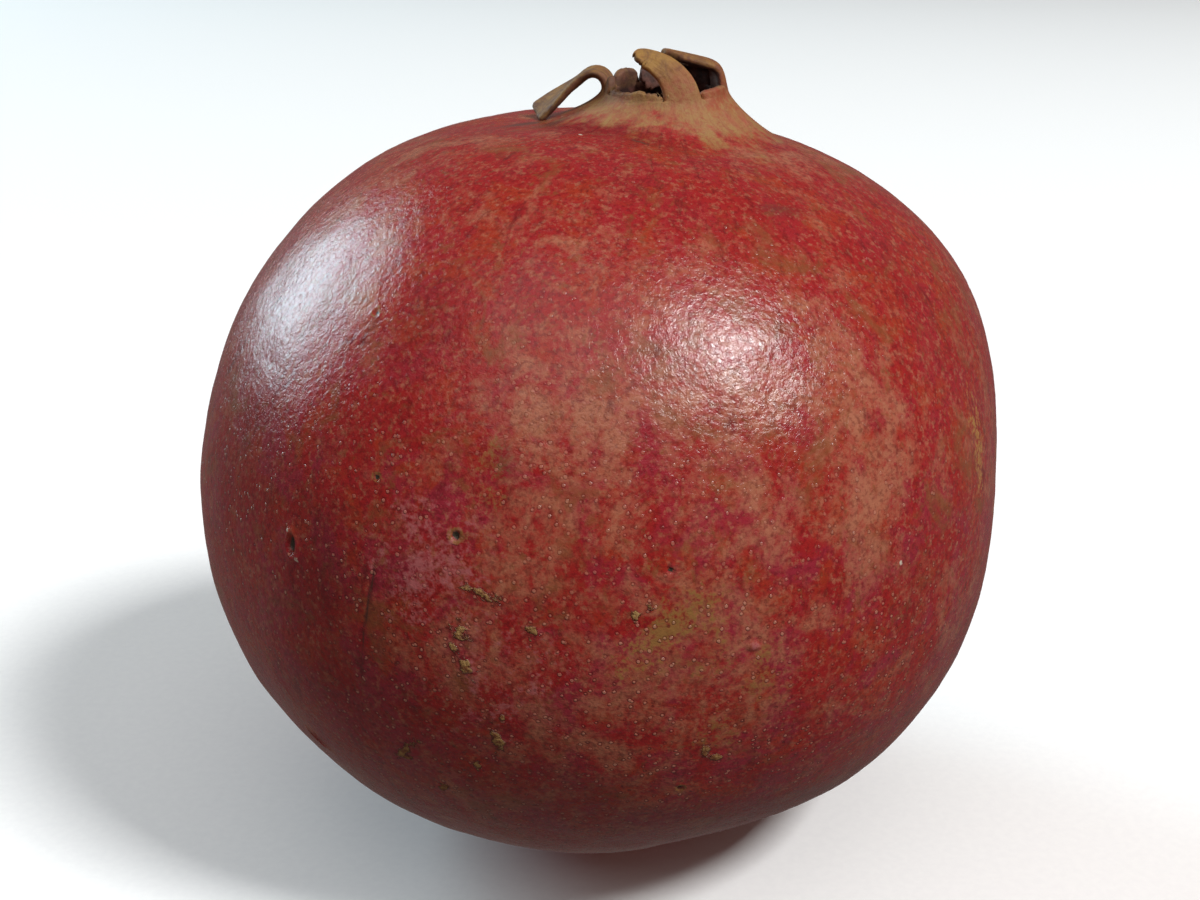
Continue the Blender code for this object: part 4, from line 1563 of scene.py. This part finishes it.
@dataclass
class Style:
    """The withered stalk in the middle of the cup, with its knob."""

    skin: Skin
    height: float = 3.1 * MM
    lean: float = math.radians(12)
    bend: float = 0.25 * MM
    sunk: float = 0.1 * MM
    foot_radius: float = 0.8 * MM
    narrowing: float = 0.4125 * MM
    narrow_from: float = 0.6  # share of its height
    knob: float = 0.35 * MM
    knob_at: float = 0.93  # share of its height
    knob_length: float = 0.08
    tip_radius: float = 0.25 * MM
    finish: DryFinish = DryFinish("withered_style", (0.08, 0.035, 0.02), (0.22, 0.12, 0.05))

    def build(self) -> bpy.types.Object:
        """Builds it in place of the plain cone.

        Returns:
            The object.
        """
        crown = self.skin.crown
        t = np.linspace(0, 1, 24)
        bent = np.column_stack([self.bend * np.sin(5 * t), 0 * t, self.height * t])
        foot = [0, 0, crown.cup_floor_rise - crown.cup_depth - self.sunk]
        path = bent @ turning(self.lean, "X").T + foot
        knob = self.knob * np.exp(-(((t - self.knob_at) / self.knob_length) ** 2))
        radii = self.foot_radius - self.narrowing * smooth(t / self.narrow_from) + knob
        radii[-1] = self.tip_radius
        radii = radii * (1 + 0.06 * np.sin(23 * t))
        bm = bmesh.new()
        add_thread(bm, self.skin.to_world(crown.placed(path)), radii, 16)
        stalk = threads_object("style_stalk", bm, self.finish)
        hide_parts("style")
        return stalk


@dataclass
class TornFibres:
    """Short fibres that stand up where a lobe was torn off."""

    skin: Skin
    first: float = math.radians(193)
    last: float = math.radians(276)
    count: int = 46
    corner: float = math.radians(266)
    corner_reach: float = math.radians(9)
    sunk: float = 0.25 * MM
    stations: int = 7
    seed: int = 7
    finish: DryFinish = DryFinish("torn_fibre", (0.12, 0.06, 0.03), (0.38, 0.26, 0.12))

    def build(self) -> bpy.types.Object:
        """Builds them along the torn rim, longest at its corner with the standing lobe.

        Returns:
            The object.
        """
        rng = np.random.default_rng(self.seed)
        crown = self.skin.crown
        bm = bmesh.new()
        for number in range(self.count):
            beyond = (self.last - self.first) * (number + rng.random()) / self.count
            azimuth = np.array([self.first + beyond])
            near = math.exp(-(((float(azimuth[0]) - self.corner) / self.corner_reach) ** 2))
            long = MM * rng.uniform(0.25, 0.6) * (1 + near)
            up, out = crown.direction(azimuth)[0], crown.normal(azimuth)[0]
            start = crown.rim(azimuth)[0] - crown.wall * rng.uniform(0.15, 0.85) * out - self.sunk * up
            t = np.linspace(0, 1, self.stations)[:, None]
            sway = rng.uniform(-1.1, 1.1) * long * np.cross(up, out) + rng.uniform(-0.8, 0.8) * long * out
            path = start + t * (long + self.sunk) * up + t**2 * sway
            radii = MM * np.linspace(0.15, 0.03, self.stations)
            add_thread(bm, self.skin.to_world(crown.placed(path)), radii, 5)
        return threads_object("torn_fibres", bm, self.finish)


# ---- the studio ----------------------------------------------------------------------------------


@dataclass(frozen=True)
class Softbox:
    """A rectangular light that faces the fruit."""

    name: str
    azimuth: float  # degrees to the right of the camera, about the fruit
    elevation: float  # degrees
    distance: float
    width: float
    height: float
    power: float  # watts
    tint: Colour = (1, 1, 1)
    roll: float = 0.0  # degrees about the line to the fruit


@dataclass(frozen=True)
class Studio:
    """A pale floor, soft lights and the camera."""

    target: tuple[float, float, float] = (-0.2 * MM, 0.0, 42.15 * MM)
    view_elevation: float = 20.0
    view_distance: float = 198.3 * MM
    view_lift: float = 3.3 * MM
    lens: float = 50.0
    boxes: tuple[Softbox, ...] = (
        Softbox("rear_window", -124.5, 22, 3.0, 1.35, 1.4, 62.0, (0.67, 0.9, 1.0), roll=6.0),
        Softbox("front_box", 53, 48, 3.0, 0.7, 0.58, 84.0, (0.98, 0.99, 0.99)),
        Softbox("overhead", -10, 60, 3.2, 3.0, 3.0, 30.5, (1.0, 0.965, 0.935)),
    )
    sky: float = 0.16
    sky_tint: Colour = (1.0, 0.8, 0.75)
    floor_reach: float = 3.0
    paper_dark: Colour = (0.92, 0.92, 0.915)
    paper_light: Colour = (0.95, 0.95, 0.94)

    def build(self) -> None:
        """Sets up the floor, the lights, the sky and the camera."""
        floor = bpy.data.objects.new("floor", bpy.data.meshes.new("floor"))
        bm = bmesh.new()
        bmesh.ops.create_grid(bm, x_segments=2, y_segments=2, size=self.floor_reach)
        bm.to_mesh(floor.data)
        bm.free()
        bpy.context.scene.collection.objects.link(floor)
        paper = Shader("pale_paper")
        fibre = paper.range(paper.cloudy(paper.place(), 900, 4, 0.7), 0.3, 0.7)
        colour = paper.mixed(fibre, self.paper_dark, self.paper_light)
        paper.feed(paper.surface.inputs["Base Color"], colour)
        paper.surface.inputs["Roughness"].default_value = 0.9
        floor.data.materials.append(paper.material)
        # The fruit's gloss shows the lights alone, and the floor throws no light up at it.
        floor.visible_glossy = floor.visible_diffuse = False
        for box in self.boxes:
            self.light(box)
        world = bpy.data.worlds.new("sky")
        bpy.context.scene.world = world
        world.use_nodes = True
        world.node_tree.nodes["Background"].inputs[0].default_value = (*self.sky_tint, 1)
        world.node_tree.nodes["Background"].inputs[1].default_value = self.sky
        bpy.context.scene.view_settings.view_transform = "Standard"
        self.camera()

    def spot(self, azimuth: float, elevation: float, distance: float) -> Vector:
        """A place about the target.

        Args:
            azimuth: Degrees to the right of the camera.
            elevation: Degrees above the floor.
            distance: Metres from the target.

        Returns:
            The place.
        """
        turn, tilt = math.radians(azimuth), math.radians(elevation)
        way = Vector((math.sin(turn) * math.cos(tilt), -math.cos(turn) * math.cos(tilt), math.sin(tilt)))
        return Vector(self.target) + distance * way

    def light(self, box: Softbox) -> None:
        """Adds one softbox.

        Args:
            box: The softbox.
        """
        data = bpy.data.lights.new(box.name, "AREA")
        data.shape, data.size, data.size_y = "RECTANGLE", box.width, box.height
        data.energy, data.color = box.power, box.tint
        lamp = bpy.data.objects.new(box.name, data)
        bpy.context.scene.collection.objects.link(lamp)
        lamp.location = self.spot(box.azimuth, box.elevation, box.distance)
        aim = (Vector(self.target) - lamp.location).to_track_quat("-Z", "Y")
        lamp.rotation_euler = (aim @ Quaternion((0, 0, 1), math.radians(box.roll))).to_euler()

    def camera(self) -> None:
        """Adds the camera, which looks a little above the fruit's middle."""
        data = bpy.data.cameras.new("camera")
        data.lens, data.sensor_width, data.clip_start = self.lens, 36.0, 0.01
        eye = bpy.data.objects.new("camera", data)
        bpy.context.scene.collection.objects.link(eye)
        eye.location = self.spot(0, self.view_elevation, self.view_distance)
        lift = self.view_lift / math.cos(math.radians(self.view_elevation))
        aim = Vector(self.target) + Vector((0, 0, lift))
        eye.rotation_euler = (aim - eye.location).to_track_quat("-Z", "Y").to_euler()
        bpy.context.scene.camera = eye


def main() -> None:
    """Builds the fruit and the studio."""
    logging.basicConfig(level=logging.INFO, format="%(name)s: %(message)s")
    skin = Skin(Body(), Crown())
    skin.build()
    for remains in (Stamens(skin), Style(skin), TornFibres(skin)):
        remains.build()
    Studio().build()


if __name__ == "__main__":
    main()
